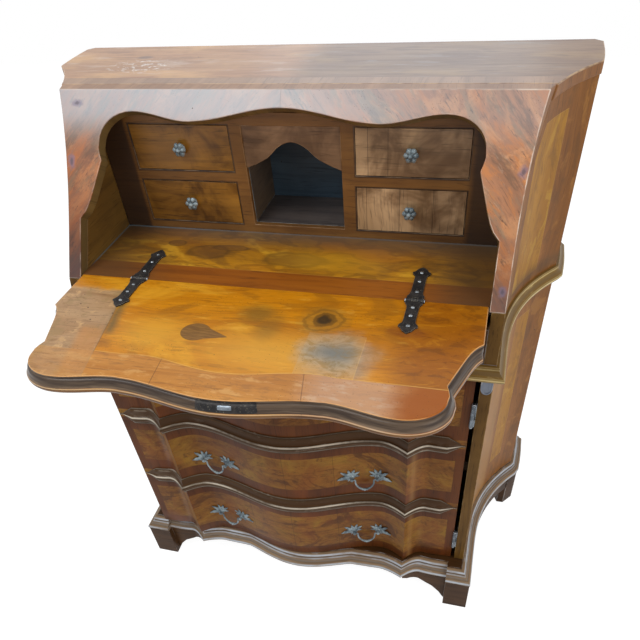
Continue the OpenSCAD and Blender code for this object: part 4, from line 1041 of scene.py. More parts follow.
def newTree(name, inputs):
    tree = bpy.data.node_groups.new(name, "GeometryNodeTree")
    for label, kind in inputs:
        tree.interface.new_socket(name=label, in_out="INPUT", socket_type=kind)
    tree.interface.new_socket(name="Geometry", in_out="OUTPUT", socket_type="NodeSocketGeometry")
    graph = Graph(tree)
    entry = graph.node("NodeGroupInput")
    wires = {label: Wire(graph, entry.socket.node.outputs[label]) for label, kind in inputs}
    return graph, wires


def treeEnd(graph, geometry, material):
    real = graph.node("GeometryNodeRealizeInstances", None, {"Geometry": geometry})
    painted = graph.node("GeometryNodeSetMaterial", None, {"Geometry": real, "Material": material})
    graph.node("NodeGroupOutput", None, {0: painted})
    return graph.tree


def namedValue(graph, name, kind="FLOAT"):
    return graph.node("GeometryNodeInputNamedAttribute", {"data_type": kind}, {"Name": name}, "Attribute")


# a profile carried along a path; the path gives outward and taper, the profile how far out and how high
def profileTree():
    graph, given = newTree("profileRun", [("Path", "NodeSocketObject"), ("Profile", "NodeSocketObject"),
        ("Material", "NodeSocketMaterial")])
    path = graph.node("GeometryNodeObjectInfo", None, {"Object": given["Path"]}, "Geometry")
    profile = graph.node("GeometryNodeObjectInfo", None, {"Object": given["Profile"]}, "Geometry")
    pathCount = graph.node("GeometryNodeAttributeDomainSize", None, {0: path}, "Point Count")
    profileCount = graph.node("GeometryNodeAttributeDomainSize", None, {0: profile}, "Point Count")
    grid = graph.node("GeometryNodeMeshGrid", None, {"Vertices X": pathCount, "Vertices Y": profileCount})
    index = graph.node("GeometryNodeInputIndex")
    row = ((index + 0.5) / profileCount).maths("FLOOR")
    column = index - row * profileCount

    def sampled(source, value, at, kind):
        return graph.node("GeometryNodeSampleIndex", {"data_type": kind},
            {"Geometry": source, "Value": value, "Index": at}, "Value")

    position = graph.node("GeometryNodeInputPosition")
    start = sampled(path, position, row, "FLOAT_VECTOR")
    outward = sampled(path, namedValue(graph, "outward", "FLOAT_VECTOR"), row, "FLOAT_VECTOR")
    taper = sampled(path, namedValue(graph, "taper"), row, "FLOAT")
    run = sampled(path, namedValue(graph, "run"), row, "FLOAT")
    shape = graph.parts(sampled(profile, position, column, "FLOAT_VECTOR"))
    across = sampled(profile, namedValue(graph, "across"), column, "FLOAT")
    crest = sampled(profile, namedValue(graph, "crest"), column, "FLOAT")
    reach = graph.node("ShaderNodeVectorMath", {"operation": "SCALE"}, {0: outward, 3: shape[0] * taper})
    place = graph.moved(graph.moved(start, reach), graph.joined(0.0, 0.0, shape[1] * taper))
    formed = graph.node("GeometryNodeSetPosition", None, {"Geometry": grid, "Position": place})
    for name, value in (("run", run), ("across", across), ("crest", crest)):
        formed = graph.node("GeometryNodeStoreNamedAttribute", {"data_type": "FLOAT", "domain": "POINT"},
            {"Geometry": formed, "Name": name, "Value": value})
    mapped = graph.joined(namedValue(graph, "run"), namedValue(graph, "across"))
    formed = graph.node("GeometryNodeStoreNamedAttribute", {"data_type": "FLOAT2", "domain": "CORNER"},
        {"Geometry": formed, "Name": "UVMap", "Value": mapped})
    formed = graph.node("GeometryNodeMergeByDistance", None, {"Geometry": formed, "Distance": 0.000002})
    return treeEnd(graph, formed, given["Material"])


def wireTree():
    graph, given = newTree("wireRun", [("Path", "NodeSocketObject"), ("Sides", "NodeSocketInt"),
        ("Material", "NodeSocketMaterial")])
    path = graph.node("GeometryNodeObjectInfo", None, {"Object": given["Path"]}, "Geometry")
    curve = graph.node("GeometryNodeMeshToCurve", None, {0: path})
    thick = graph.node("GeometryNodeSetCurveRadius", None,
        {"Curve": curve, "Radius": namedValue(graph, "thick")})
    ring = graph.node("GeometryNodeCurvePrimitiveCircle", None, {"Resolution": given["Sides"], "Radius": 1.0})
    tube = graph.node("GeometryNodeCurveToMesh", None,
        {"Curve": thick, "Profile Curve": ring, "Scale": namedValue(graph, "thick"), "Fill Caps": True})
    return treeEnd(graph, tube, given["Material"])


def copiesTree():
    graph, given = newTree("placedCopies", [("Places", "NodeSocketObject"), ("Copied", "NodeSocketObject"),
        ("Material", "NodeSocketMaterial")])
    places = graph.node("GeometryNodeObjectInfo", None, {"Object": given["Places"]}, "Geometry")
    copied = graph.node("GeometryNodeObjectInfo", None, {"Object": given["Copied"]}, "Geometry")
    turned = graph.node("FunctionNodeEulerToRotation", None, {0: namedValue(graph, "turn", "FLOAT_VECTOR")})
    size = namedValue(graph, "size")
    copies = graph.node("GeometryNodeInstanceOnPoints", None,
        {"Points": places, "Instance": copied, "Rotation": turned, "Scale": graph.joined(size, size, size)})
    return treeEnd(graph, copies, given["Material"])


trees = {"profileRun": profileTree(), "wireRun": wireTree(), "placedCopies": copiesTree()}


def attributed(mesh, **values):
    for name, data in values.items():
        if hasattr(data[0], "__len__"):
            layer = mesh.attributes.new(name, "FLOAT_VECTOR", "POINT")
            layer.data.foreach_set("vector", [c for v in data for c in v])
        else:
            layer = mesh.attributes.new(name, "FLOAT", "POINT")
            layer.data.foreach_set("value", list(data))
    return mesh


def lineMesh(name, points, **values):
    mesh = bpy.data.meshes.new(name)
    mesh.from_pydata([tuple(p) for p in points], [(i, i + 1) for i in range(len(points) - 1)], [])
    return attributed(mesh, **values)


def grownByTree(name, treeName, **given):
    holder = linked(name, bpy.data.meshes.new(name))
    modifier = holder.modifiers.new(treeName, "NODES")
    modifier.node_group = trees[treeName]
    helpers = []
    for item in trees[treeName].interface.items_tree:
        if item.in_out == "INPUT":
            value = given[item.name]
            if isinstance(value, bpy.types.Mesh):
                value = linked(name + item.name, value)
                helpers.append(value)
            modifier[item.identifier] = value
    holder.update_tag()
    bpy.context.view_layer.update()
    mesh = evaluatedMesh(holder)
    for helper in helpers:
        bpy.data.objects.remove(helper)
    mesh.name = name
    return mesh


def runLength(points):
    total, out = 0, [0]
    for a, b in zip(points, points[1:]):
        total += (Vector(b) - Vector(a)).length
        out.append(total)
    return out


# rounds a profile by cutting its corners, keeping the ends
def cutCorners(points, times=2, share=0.22):
    for turn in range(times):
        eased = [points[0]]
        for a, b in zip(points, points[1:]):
            eased.append(tuple(p + (q - p) * share for p, q in zip(a, b)))
            eased.append(tuple(p + (q - p) * (1 - share) for p, q in zip(a, b)))
        points = eased + [points[-1]]
    return points


def crestOf(points):
    out = []
    for i, p in enumerate(points):
        a = Vector(points[max(0, i - 2)][:2])
        b = Vector(points[min(len(points) - 1, i + 2)][:2])
        way = b - a
        side = Vector((way[1], -way[0])).normalized() if way.length > 0 else Vector((1, 0))
        bend = (Vector(p[:2]) - (a + b) / 2).dot(side) / max(way.length, 0.2)
        out.append(0.5 + 0.5 * max(-1, min(1, bend * 4)))
    return out


def mouldingRun(name, path, outs, profile, finish, body, nodes, tapers=None, across=None, turn=None):
    crest = crestOf(profile)
    closed = [(p[0] / 1000, p[1] / 1000, 0) for p in profile + profile[:1]]
    profileMesh = lineMesh("profile", closed, across=across or runLength(closed), crest=crest + crest[:1])
    places = [spot(*p) for p in path]
    length = runLength(places)
    middle = length[-1] / 2
    pathMesh = lineMesh("path", places, outward=[tuple(o) for o in outs], taper=tapers or [1.0] * len(path),
        run=[s - middle for s in length])
    mesh = grownByTree(name, "profileRun", Path=pathMesh, Profile=profileMesh, Material=finish)
    tidied(mesh, fillHoles=True)
    if turn:
        mesh.transform(turn)
    return pieceFrom(name, mesh, body, nodes, None, 38)


def wrapPath(front, middle, z):
    sides = [(sideX(y), y) for y in sideRun(front, rearY)]
    outs = [Vector((1, -1, 0))] + [Vector((*sideOut(y), 0)) for x, y in sides[1:]]
    left = [(-x, y, z) for x, y in reversed(sides)]
    leftOuts = [Vector((-o.x, o.y, 0)) for o in reversed(outs)]
    centre = [(x, y, z) for x, y in middle]
    path = left + centre + [(x, y, z) for x, y in sides]
    return path, leftOuts + [Vector((0, -1, 0))] * len(centre) + outs


print("trees ready")

# case

for node, width, finish in (
    ("top_board", 1.6, topFinish),
    ("side_left", 1.2, sideFinish),
    ("side_right", 1.2, sideFinish),
    ("slant_frame", 1.3, frameFinish),
    ("stiles", 1.2, stileFinish),
    ("stile_feet", 1.2, stileFinish),
    ("corner_drops", 0.7, dropFinish),
    ("waist_rail", 0.8, darkFinish),
    ("fascia", 0.8, darkFinish),
    ("desk_bed", 0.6, bedFinish),
    ("inner_cheeks", 0.6, cheekFinish),
    ("back_panel", 0.6, backFinish),
    ("cupboard_floor", 0.6, carcassFinish),
    ("cupboard_shelf", 0.8, carcassFinish),
    ("shelf_cleats", 0.8, carcassFinish),
    ("base_frame", 1.0, darkFinish),
    ("foot_front_left", 1.6, darkFinish),
    ("foot_front_right", 1.6, darkFinish),
    ("foot_rear_left", 1.6, darkFinish),
    ("foot_rear_right", 1.6, darkFinish),
    ("side_aprons", 1.4, darkFinish),
    ("loper_left", 1.2, stileFinish),
    ("loper_right", 1.2, stileFinish),
    ("loper_guides", 0.8, carcassFinish),
    ("gallery_floor", 0.8, holeFloorFinish),
    ("gallery_top", 0.6, insideFinish),
    ("gallery_back", 0.5, holeBackShadeFinish),
    ("gallery_partitions", 1.0, holeWallFinish),
    ("gallery_face", 0.9, insideFinish),
    ("gallery_valance", 0.9, valanceFinish),
    ("bed_straps", 1.0, ironFinish),
    ("fall_straps", 1.0, ironFinish),
    ("strap_pins", 0.4, steelFinish),
    ("door_hinge_case", 0.4, steelFinish),
    ("door_hinge_leaf", 0.4, steelFinish),
    ("door_hinge_pins", 0.4, steelFinish),
):
    easedPiece(node, width, finish)
print("case done")

# profiles: how far out and how high
waistProfile = [(0, 0), (7, 0.6), (11, 2.2), (13.6, 4.6), (15.2, 8), (15, 11), (13, 12.6), (11.6, 13.4),
    (8, 16.5), (5.6, 20), (4.4, 23.5), (5, 25.4), (4.4, 27.6), (0, 28)]
path, outs = wrapPath(stileY, [(x, frontY(x)) for x in frontRun(337)], caseSizes["waistHeight"])
mouldingRun("waist_moulding_run", path, outs, cutCorners(waistProfile), waistFinish, "case",
    ["waist_moulding"])

baseSizes = {"front": stileY - 24, "blockIn": 333}
baseProfile = [(0, 0), (18, 0), (21, 2), (22.4, 6), (21.4, 10), (18, 12.5), (14.5, 13.5), (14, 17),
    (8.5, 19), (6.8, 21.5), (8.2, 24.5), (7.2, 28), (4.2, 30.5), (0, 31)]
middle = [(x, frontY(x) - 12 - baseFill(x)) for x in frontRun(baseSizes["blockIn"] - 0.1)]
middle = [(-baseSizes["blockIn"], baseSizes["front"])] + middle + [(baseSizes["blockIn"], baseSizes["front"])]
path, outs = wrapPath(baseSizes["front"], middle, caseSizes["baseHeight"])
mouldingRun("base_moulding_run", path, outs, cutCorners(baseProfile), baseMouldFinish, "case",
    ["base_moulding"])
print("wrapping mouldings done")

# door

doorSizes = {"half": 336.5, "thick": 22, "low": 128.2, "high": 639.8, "hingeX": 338.5, "ajar": 3, "ease": 1.6,
    "fade": 28, "handleX": 153, "postHalf": 25}
doorPivot = spot(doorSizes["hingeX"], stileY - 4, 0)
doorTurn = Matrix.Rotation(math.radians(doorSizes["ajar"]), 4, "Z")
doorTurn = Matrix.Translation(doorPivot) @ doorTurn @ Matrix.Translation(-doorPivot)
xs = frontRun(doorSizes["half"], 3.6)
e = doorSizes["ease"]
low, high, back = doorSizes["low"], doorSizes["high"], -doorSizes["thick"]
doorLoop = [(back, low), (-e, low), (-e * 0.3, low + e * 0.3), (0, low + e)]
doorLoop += [(0, low + (high - low) * i / 12) for i in range(1, 12)]
doorLoop += [(0, high - e), (-e * 0.3, high - e * 0.3), (-e, high), (back, high)]
doorPath = [(x, frontY(x), 0) for x in xs]
mouldingRun("door_panel_curved", doorPath, [Vector((0, -1, 0))] * len(xs), doorLoop, doorFinish, "door",
    ["door_panel"], across=[p[1] / 1000 for p in doorLoop + doorLoop[:1]], turn=doorTurn)

fieldProfile = [(0, 21), (3.4, 20), (5.4, 15), (5.8, 8), (7.4, 4.5), (11.4, 3.4), (13.4, 0), (13.2, -4.4),
    (10.6, -8), (6.8, -9.2), (6.6, -11), (8.2, -12.6), (8, -15), (5.4, -16.8), (0, -17.4)]
xs = frontRun(doorSizes["half"] - 1, 3.6)
# the mouldings die away into the door's flat edges
fieldTapers = [max(0.12, 1 - max(0, abs(x) - frontMarks["flat"]) / doorSizes["fade"]) for x in xs]
for node, z in (("door_moulding_lower", 303), ("door_moulding_upper", 483)):
    mouldingRun(node + "_run", [(x, frontY(x), z) for x in xs], [Vector((0, -1, 0))] * len(xs),
        cutCorners(fieldProfile), frontMouldFinish, "door", [node], tapers=fieldTapers, turn=doorTurn)
print("door done")

# fall

fallSizes = {"gap": 1.5, "top": caseSizes["bedHeight"], "strapX": 231, "notch": 15.6, "notchDeep": 5.8,
    "rear": 0.5}
# the opening's outline, up the slanted face from the hinge: its waist, its rounded corners and the wavy head
openSizes = {"waistIn": 39, "waistDown": 80, "lowDown": 172, "cornerIn": 93, "cornerDown": 6.5,
    "cornerWide": 58, "cornerTall": 46, "headDip": 7, "waveHalf": 150}


def headAt(x):
    swell = caseSizes["headWave"] / 2
    return openPeak - swell + swell * math.cos(math.radians(180 * x / openSizes["waveHalf"]))


def openingHalf():
    o = openSizes
    half, peak = caseSizes["openHalf"], openPeak
    cornerX, cornerD = half - o["cornerIn"], peak - o["cornerDown"]
    midX, midD, lowD = half - o["waistIn"], peak - o["waistDown"], peak - o["lowDown"]
    points = [(half, 0.5), (half, lowD - 2)]
    for i in range(17):
        t = 1 - i / 16
        points.append((midX + (half - midX) * (0.75 * t + 0.25 * t ** 8), midD + (lowD - midD) * t))
    points += [(midX + 3, midD + 9), (midX + 5, midD + 19)]
    for i in range(17):
        a = 90 - i * 5.625
        rise = o["cornerTall"] * (1 - math.cos(math.radians(a)))
        points.append((cornerX + o["cornerWide"] * wave(a), cornerD - rise))
    dip = o["headDip"]
    for i in range(1, 21):
        x = cornerX - (cornerX - o["waveHalf"]) * i / 20
        points.append((x, cornerD - dip + dip * math.cos(math.radians(9 * i))))
    for i in range(1, 31):
        x = o["waveHalf"] - 5 * i
        points.append((x, headAt(x)))
    return points


def offsetOutline(offset):
    base = openingHalf()
    lowD = openPeak - openSizes["lowDown"]
    gap = fallSizes["gap"]
    out = []
    for i, p in enumerate(base):
        if i == 0:
            way = Vector((1, 0))
        elif i == len(base) - 1:
            way = Vector((0, 1))
        else:
            a = (Vector(p) - Vector(base[i - 1])).normalized()
            b = (Vector(base[i + 1]) - Vector(p)).normalized()
            na, nb = Vector((a.y, -a.x)), Vector((b.y, -b.x))
            way = (na + nb) / (1 + na.dot(nb) + 0.1)
        share = max(0, min(1, (p[1] - lowD) / 5))
        reach = -gap * (1 - share) + offset * share if offset > -gap else offset
        out.append(Vector(p) + way * reach)
    right = [(v.x, v.y) for v in out]
    left = [(-x, d) for x, d in reversed(right[:-1])]
    return right + left


def fallRing(offset, z):
    ring = offsetOutline(offset)
    n, s = fallSizes["notch"], fallSizes["strapX"]
    near, far = fallSizes["rear"], fallSizes["notchDeep"]
    rear = []
    for c in (-s, s):
        rear += [(c - n, near), (c - n, far), (c + n, far), (c + n, near)]
    return [spot(x, hingeY - max(d, near), z) for x, d in ring + rear]


# how far out, how far below the top, and which part of the edge it is
fallEdge = [(-3.6, 0, 0), (-2.3, 0.15, 0.1), (-1.7, 0.7, 0.12), (-1.5, 1.8, 0.3), (-1.5, 4.8, 0.4),
    (0.6, 5.6, 0.4), (2.2, 7.4, 0.4), (3.2, 10.2, 0.4), (4.4, 13.4, 0.4), (6.0, 15.6, 0.42),
    (7.0, 16.6, 0.6), (7.7, 17.6, 0.7), (7.99, 19, 0.9), (7.99, 21, 0.95), (7.5, 23, 1.0),
    (6.6, 24.3, 1.0), (5.2, 25, 1.1), (3.0, 25, 1.4)]


def fallBoard():
    rings = [fallRing(o, fallSizes["top"] - drop) for o, drop, mark in fallEdge]
    count = len(rings[0])
    points = [p for ring in rings for p in ring]
    marks = [mark for o, drop, mark in fallEdge for i in range(count)]
    faces = [list(range(count)), [len(points) - count + i for i in reversed(range(count))]]
    for r in range(len(rings) - 1):
        for i in range(count):
            j = (i + 1) % count
            faces.append([r * count + i, (r + 1) * count + i, (r + 1) * count + j, r * count + j])
    mesh = grownMesh("fall_board_shown", points, faces)
    attributed(mesh, edge=marks)
    shape = bmesh.new()
    shape.from_mesh(mesh)
    bmesh.ops.recalc_face_normals(shape, faces=shape.faces)
    shape.to_mesh(mesh)
    shape.free()
    piece = pieceFrom("fall_board_shown", mesh, "fall", ["fall_board"], fallFinish, 40)
    for face in mesh.polygons:
        if len(face.vertices) > 8:
            face.use_smooth = False
    return piece


fallBoard()

# lock let into the front edge: a plate lying in the cove, its bolt standing a little proud
lockSizes = {"plate": (-20, 64), "bolt": (12, 31), "screws": (-13, 3, 42, 57)}
plateSection = [(-1.0, 1.4), (-0.9, 4.5), (1.2, 5.2), (2.8, 7.1), (3.9, 10.0), (5.1, 13.2), (6.5, 15.3),
    (4.2, 17.6), (1.4, 15.0), (-1.2, 9.0), (-3.4, 5.0), (-3.4, 1.4)]
boltSection = [(2.2, 6.0), (4.3, 7.4), (5.4, 9.6), (5.6, 11.4), (4.4, 12.0), (2.6, 9.4)]


def edgeFrame(x):
    half = openSizes["waveHalf"]
    slope = -caseSizes["headWave"] / 2 * math.radians(180 / half) * wave(180 * x / half)
    return headAt(x), Vector((-slope, 1)).normalized()


def edgePoint(x, out, drop):
    d, way = edgeFrame(x)
    return spot(x + way.x * out, hingeY - d - way.y * out, fallSizes["top"] - drop)


def edgeInsert(name, start, end, section, count=24):
    xs = [start + (end - start) * i / count for i in range(count + 1)]
    ease = [0.82] + [1] * (count - 1) + [0.82]
    middle = [sum(p[k] for p in section) / len(section) for k in (0, 1)]
    points = [edgePoint(x, middle[0] + (o - middle[0]) * e, middle[1] + (d - middle[1]) * e)
        for x, e in zip(xs, ease) for o, d in section]
    n = len(section)
    faces = []
    for r in range(count):
        for i in range(n):
            j = (i + 1) % n
            faces.append([r * n + i, (r + 1) * n + i, (r + 1) * n + j, r * n + j])
    faces += [list(range(n)), [count * n + i for i in range(n)]]
    return tidied(grownMesh(name, points, faces))


def fallLock():
    parts = [edgeInsert("plate", *lockSizes["plate"], plateSection)]
    for x in lockSizes["screws"]:
        head = latheMesh("screw", [(2.3, -0.6), (2.3, 0.2), (1.9, 0.7), (1.0, 1.0), (0.2, 1.1)], 16)
        way = edgeFrame(x)[1]
        out = Vector((way.x, -way.y, 0.62)).normalized()
        lean = out.to_track_quat("Z", "Y").to_matrix().to_4x4()
        head.transform(Matrix.Translation(edgePoint(x, 3.4, 8.6)) @ lean)
        parts.append(head)
    pieceFrom("fall_lock_plate", joinedMesh("fall_lock_plate", parts), "fall", ["fall_lock"], ironFinish, 40)
    bolt = edgeInsert("fall_lock_bolt", *lockSizes["bolt"], boltSection, 8)
    pieceFrom("fall_lock_bolt", bolt, "fall", (), steelFinish, 40)


fallLock()
print("fall done")

# gallery drawers


def drawerFinish(name, tones, cuts, seed, axes):
    return veneerFinish(name, tones, axes, [(0, c) for c in cuts], rings=48.0, roughness=0.36, coat=0.25,
        wear=0.4, seed=seed, rubbed=(176, 140, 96), smoke=0.85)


drawerTones = palette((188, 134, 52), (154, 106, 38), (108, 72, 27), (46, 29, 16))
# the right-hand drawers take paler, greyer tones: their own veneer lightened by painted sheen
drawerSheenTones = palette((226, 190, 146), (198, 162, 118), (146, 118, 88), (52, 40, 34))
drawerCuts = {"drawer_tl": (), "drawer_bl": (), "drawer_tr": (0.11, 0.29), "drawer_br": (0.09, 0.4, 0.71)}
for number, (node, cuts) in enumerate(drawerCuts.items()):
    lo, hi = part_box(node)
    places = [lo[0] + (hi[0] - lo[0]) * c for c in cuts]
    finish = drawerFinish(node + "_front_veneer", drawerSheenTones if cuts else drawerTones, places, 11.0 + number,
        (2, 0, 1) if node == "drawer_br" else (0, 2, 1))
    easedPiece(node, 1.0, finish)


# faces of a thin cast shell: a grid of points over, the same grid under, and the rim between them
def shellFaces(rows, columns):
    faces = []
    top = rows * columns
    for r in range(rows - 1):
        for c in range(columns - 1):
            a = r * columns + c
            faces.append([a, a + columns, a + columns + 1, a + 1])
            faces.append([top + a, top + a + 1, top + a + columns + 1, top + a + columns])
    rim = [c for c in range(columns)] + [r * columns + columns - 1 for r in range(1, rows)]
    rim += [(rows - 1) * columns + c for c in reversed(range(columns - 1))]
    rim += [r * columns for r in reversed(range(1, rows - 1))]
    return faces + [[a, b, top + b, top + a] for a, b in zip(rim, rim[1:] + rim[:1])]


def petalMesh():
    points = []
    rows, columns = 7, 7
    for r in range(rows):
        s = r / (rows - 1)
        for c in range(columns):
            t = c / (columns - 1) * 2 - 1
            half = 5.2 * wave(180 * min(1, 0.08 + 0.9 * s)) ** 0.6 * (0.5 + 0.5 * s)
            rise = 3.2 * (1 - t * t) ** 0.5 * (0.5 + 0.8 * wave(180 * s)) - 1.2 * s
            points.append(((2 + 8.2 * s) / 1000, half * t / 1000, rise / 1000))
    points += [(x * 0.97, y * 0.9, -0.0014) for x, y, z in points]
    return tidied(grownMesh("petal", points, shellFaces(rows, columns)))


petal = petalMesh()
knobSizes = {"petals": 6, "petalsAt": 9.6, "spread": 1.16, "sink": 4}
count = knobSizes["petals"]
spots = attributed(grownMesh("petal_places", [(0, 0, knobSizes["petalsAt"] / 1000)] * count, []),
    turn=[(0, 0, 2 * math.pi * i / count) for i in range(count)], size=[1.0] * count)
flower = grownByTree("flower", "placedCopies", Places=spots, Copied=petal, Material=pewterFinish)
stem = latheMesh("stem", [(5.8, 0), (5.6, 1.2), (4.4, 2.4), (4.0, 7), (6.4, 8.6), (7.2, 9.6), (6, 10.6),
    (3, 11.2)])
button = latheMesh("button", [(3.6, 10), (3.9, 12.4), (3.4, 14.6), (2.4, 16.4), (1.2, 17.4), (0.3, 17.7)])
knobMesh = joinedMesh("flower_knob", [flower, stem, button])
knobMesh.transform(Matrix.Diagonal((knobSizes["spread"], knobSizes["spread"], 1.0, 1.0)))
for node in drawerCuts:
    lo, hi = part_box(node + "_knob")
    mesh = knobMesh.copy()
    base = Matrix.Translation(((lo[0] + hi[0]) / 2, hi[1] - knobSizes["sink"] / 1000, (lo[2] + hi[2]) / 2))
    mesh.transform(base @ Matrix.Rotation(math.pi / 2, 4, "X"))
    pieceFrom(node + "_knob_shown", mesh, bodyOf[node + "_knob"], [node + "_knob"], pewterFinish, 46)
print("gallery done")

# nails

nailShape = latheMesh("nail", [(3.4, 2.3), (3.5, 2.9), (3.1, 3.6), (2.2, 4.2), (1.1, 4.5), (0.3, 4.6)], 20)
for node, way, reaches in (("bed_nails", 1, (21, 50, 75)), ("fall_nails", -1, (21, 42, 67))):
    places = [spot(side * fallSizes["strapX"], hingeY + way * d, fallSizes["top"])
        for side in (-1, 1) for d in reaches]
    points = attributed(grownMesh("nail_places", places, []), turn=[(0, 0, 0.7 * i) for i in range(6)],
        size=[0.94 + 0.02 * i for i in range(6)])
    mesh = grownByTree(node + "_shown", "placedCopies", Places=points, Copied=nailShape, Material=nailFinish)
    pieceFrom(node + "_shown", mesh, bodyOf[node], [node], None, 50)


# handles


def leafMesh(length, wide, curl, lobes=3):
    rows, columns = 26, 9
    points = []
    for r in range(rows):
        s = r / (rows - 1)
        body = wave(180 * (0.1 + 0.88 * s)) ** 0.75 * (1 - 0.35 * s)
        cut = 1 - 0.34 * (0.5 + 0.5 * math.cos(2 * math.pi * lobes * (s ** 0.9) + 0.4)) * min(1, s * 4)
        bend = curl * s * s
        for c in range(columns):
            t = c / (columns - 1) * 2 - 1
            half = wide / 2 * body * cut * (1 - 0.25 * s * (1 if t * curl > 0 else 0))
            lag = -abs(t) * half * 0.5
            x = length * s + lag
            y = half * t + bend
            vein = 0.7 * math.exp(-(t / 0.16) ** 2)
            ribs = 0.35 * math.cos(2 * math.pi * lobes * (s ** 0.9) + 0.4 + abs(t) * 2.2)
            rise = 1.0 + 1.25 * (1 - t * t) - vein * 0.8 - ribs * (0.4 + 0.6 * abs(t)) + 1.3 * s * s
            points.append((max(x, 0), y, rise * (0.55 + 0.45 * wave(180 * min(1, s + 0.2)))))
    points += [(x, y, -0.3) for x, y, z in points]
    points = [(x / 1000, y / 1000, z / 1000) for x, y, z in points]
    return tidied(grownMesh("leaf", points, shellFaces(rows, columns)))


# a leaf's length, its angle in degrees and its width; a pivot's row and how high it stands over it
handleSizes = {
    "leaves": ((30, -6, 18), (26, 28, 14), (21, 62, 12), (21, 98, 12), (20, 132, 12), (15, 166, 9),
        (15, -48, 10)),
    "pivots": ((128.2, 68), (300, 76), (480, 76)),
    "drop": 29,
    "arm": 17.5,
}
bossOutline = [(6.2, -0.5), (6.4, 1.6), (5.6, 3.0), (4.4, 3.6), (3.6, 5.2), (3.2, 9.0), (3.6, 10.2),
    (3.0, 11.6), (1.6, 12.4), (0.3, 12.6)]


def leafPlaced(x, z, e, length, wide, angle):
    tip = x + e * length * math.cos(math.radians(angle))
    slope = math.atan((frontY(tip) - frontY(x)) / (tip - x))
    mesh = leafMesh(length, wide, 3.0 * (1 if angle > 0 else -1))
    mesh.transform(Matrix.Rotation(math.radians(angle), 4, "Z"))
    if e < 0:
        mesh.transform(Matrix.Scale(-1, 4, (1, 0, 0)))
        mesh.flip_normals()
    mesh.transform(Matrix.Rotation(math.pi / 2, 4, "X"))
    mesh.transform(Matrix.Rotation(slope, 4, "Z"))
    mesh.transform(Matrix.Translation(spot(x, frontY(x) - 0.5, z)))
    return mesh


def handlePlace(side, z):
    x = side * doorSizes["handleX"]
    p = doorSizes["postHalf"]
    a, b = frontY(x - p), frontY(x + p)
    turn = Matrix.Rotation(math.atan((b - a) / (2 * p)), 4, "Z")
    return Matrix.Translation(spot(x, (a + b) / 2 - 0.8, z)) @ turn


def rosettes():
    parts = []
    for z0, lift in handleSizes["pivots"]:
        for side in (-1, 1):
            turn = handlePlace(side, z0 + lift)
            for e in (-1, 1):
                post = Vector((e * doorSizes["postHalf"] / 1000, 0, 0))
                x = (turn @ post).x * 1000
                for length, angle, wide in handleSizes["leaves"]:
                    parts.append(leafPlaced(x, z0 + lift, e, length, wide, angle))
                boss = latheMesh("boss", bossOutline, 20)
                boss.transform(Matrix.Translation(post) @ Matrix.Rotation(math.pi / 2, 4, "X"))
                boss.transform(turn)
                parts.append(boss)
    mesh = joinedMesh("door_rosettes_shown", parts)
    mesh.transform(doorTurn)
    pieceFrom("door_rosettes_shown", mesh, "door", ["door_rosettes"], pewterFinish, 50)


rosettes()


# swell and beads: how much thicker the wire is there and over what reach, sideAt from the middle
bailSizes = {"wire": 1.75, "swell": (0.45, 11), "bead": (1.15, 1.6), "sideBead": (0.75, 1.1), "sideAt": 4.6,
    "out": 9, "sides": 14}


def bailPath():
    arm, drop = handleSizes["arm"], handleSizes["drop"]
    half = [(23.0, 0), (20.5, 0.2), (18.6, -0.8), (arm + 0.3, -3.2), (arm + 0.6, -7.5), (arm, -12),
        (arm - 1.8, -17), (arm - 5, -22), (arm - 9.5, -26.2), (arm - 13.5, -28.4), (0, -drop)]
    for turn in range(2):
        half = cutCorners(half, 1, 0.25)
    return [(-x, z) for x, z in half[:-1]] + [(x, z) for x, z in reversed(half)]


def bails():
    line = bailPath()
    lengths = runLength([(x, z, 0) for x, z in line])
    middle = lengths[-1] / 2
    b = bailSizes

    def bump(size, d):
        return size[0] * math.exp(-(d / size[1]) ** 2)

    thick = []
    for s in lengths:
        d = abs(s - middle)
        bead = bump(b["bead"], d) + bump(b["sideBead"], d - b["sideAt"])
        thick.append((b["wire"] + bump(b["swell"], d) + bead) / 1000)
    path = lineMesh("bail_path", [(x / 1000, -b["out"] / 1000, z / 1000) for x, z in line], thick=thick)
    mesh = grownByTree("bail", "wireRun", Path=path, Sides=b["sides"], Material=pewterFinish)
    tidied(mesh)
    for (z0, lift), row in zip(handleSizes["pivots"], ("low", "mid", "top")):
        for side, word in ((-1, "left"), (1, "right")):
            node = "bail_" + row + "_" + word
            copy = mesh.copy()
            copy.transform(handlePlace(side, z0 + lift))
            copy.transform(doorTurn)
            pieceFrom(node + "_shown", copy, bodyOf[node], [node], None, 60)


bails()
print("handles done")

# camera, light and ground

# focal length, image and centre in pixels of the photo; sensor and place in mm; angles in radians
view = {
    "focal": 605.788,
    "image": 640,
    "centre": (317.681, 438.931),
    "sensor": 36,
    "yaw": -0.3387,
    "pitch": 0.8047,
    "roll": -0.1114,
    "from": (327.776, -941.455, 1285.148),
}


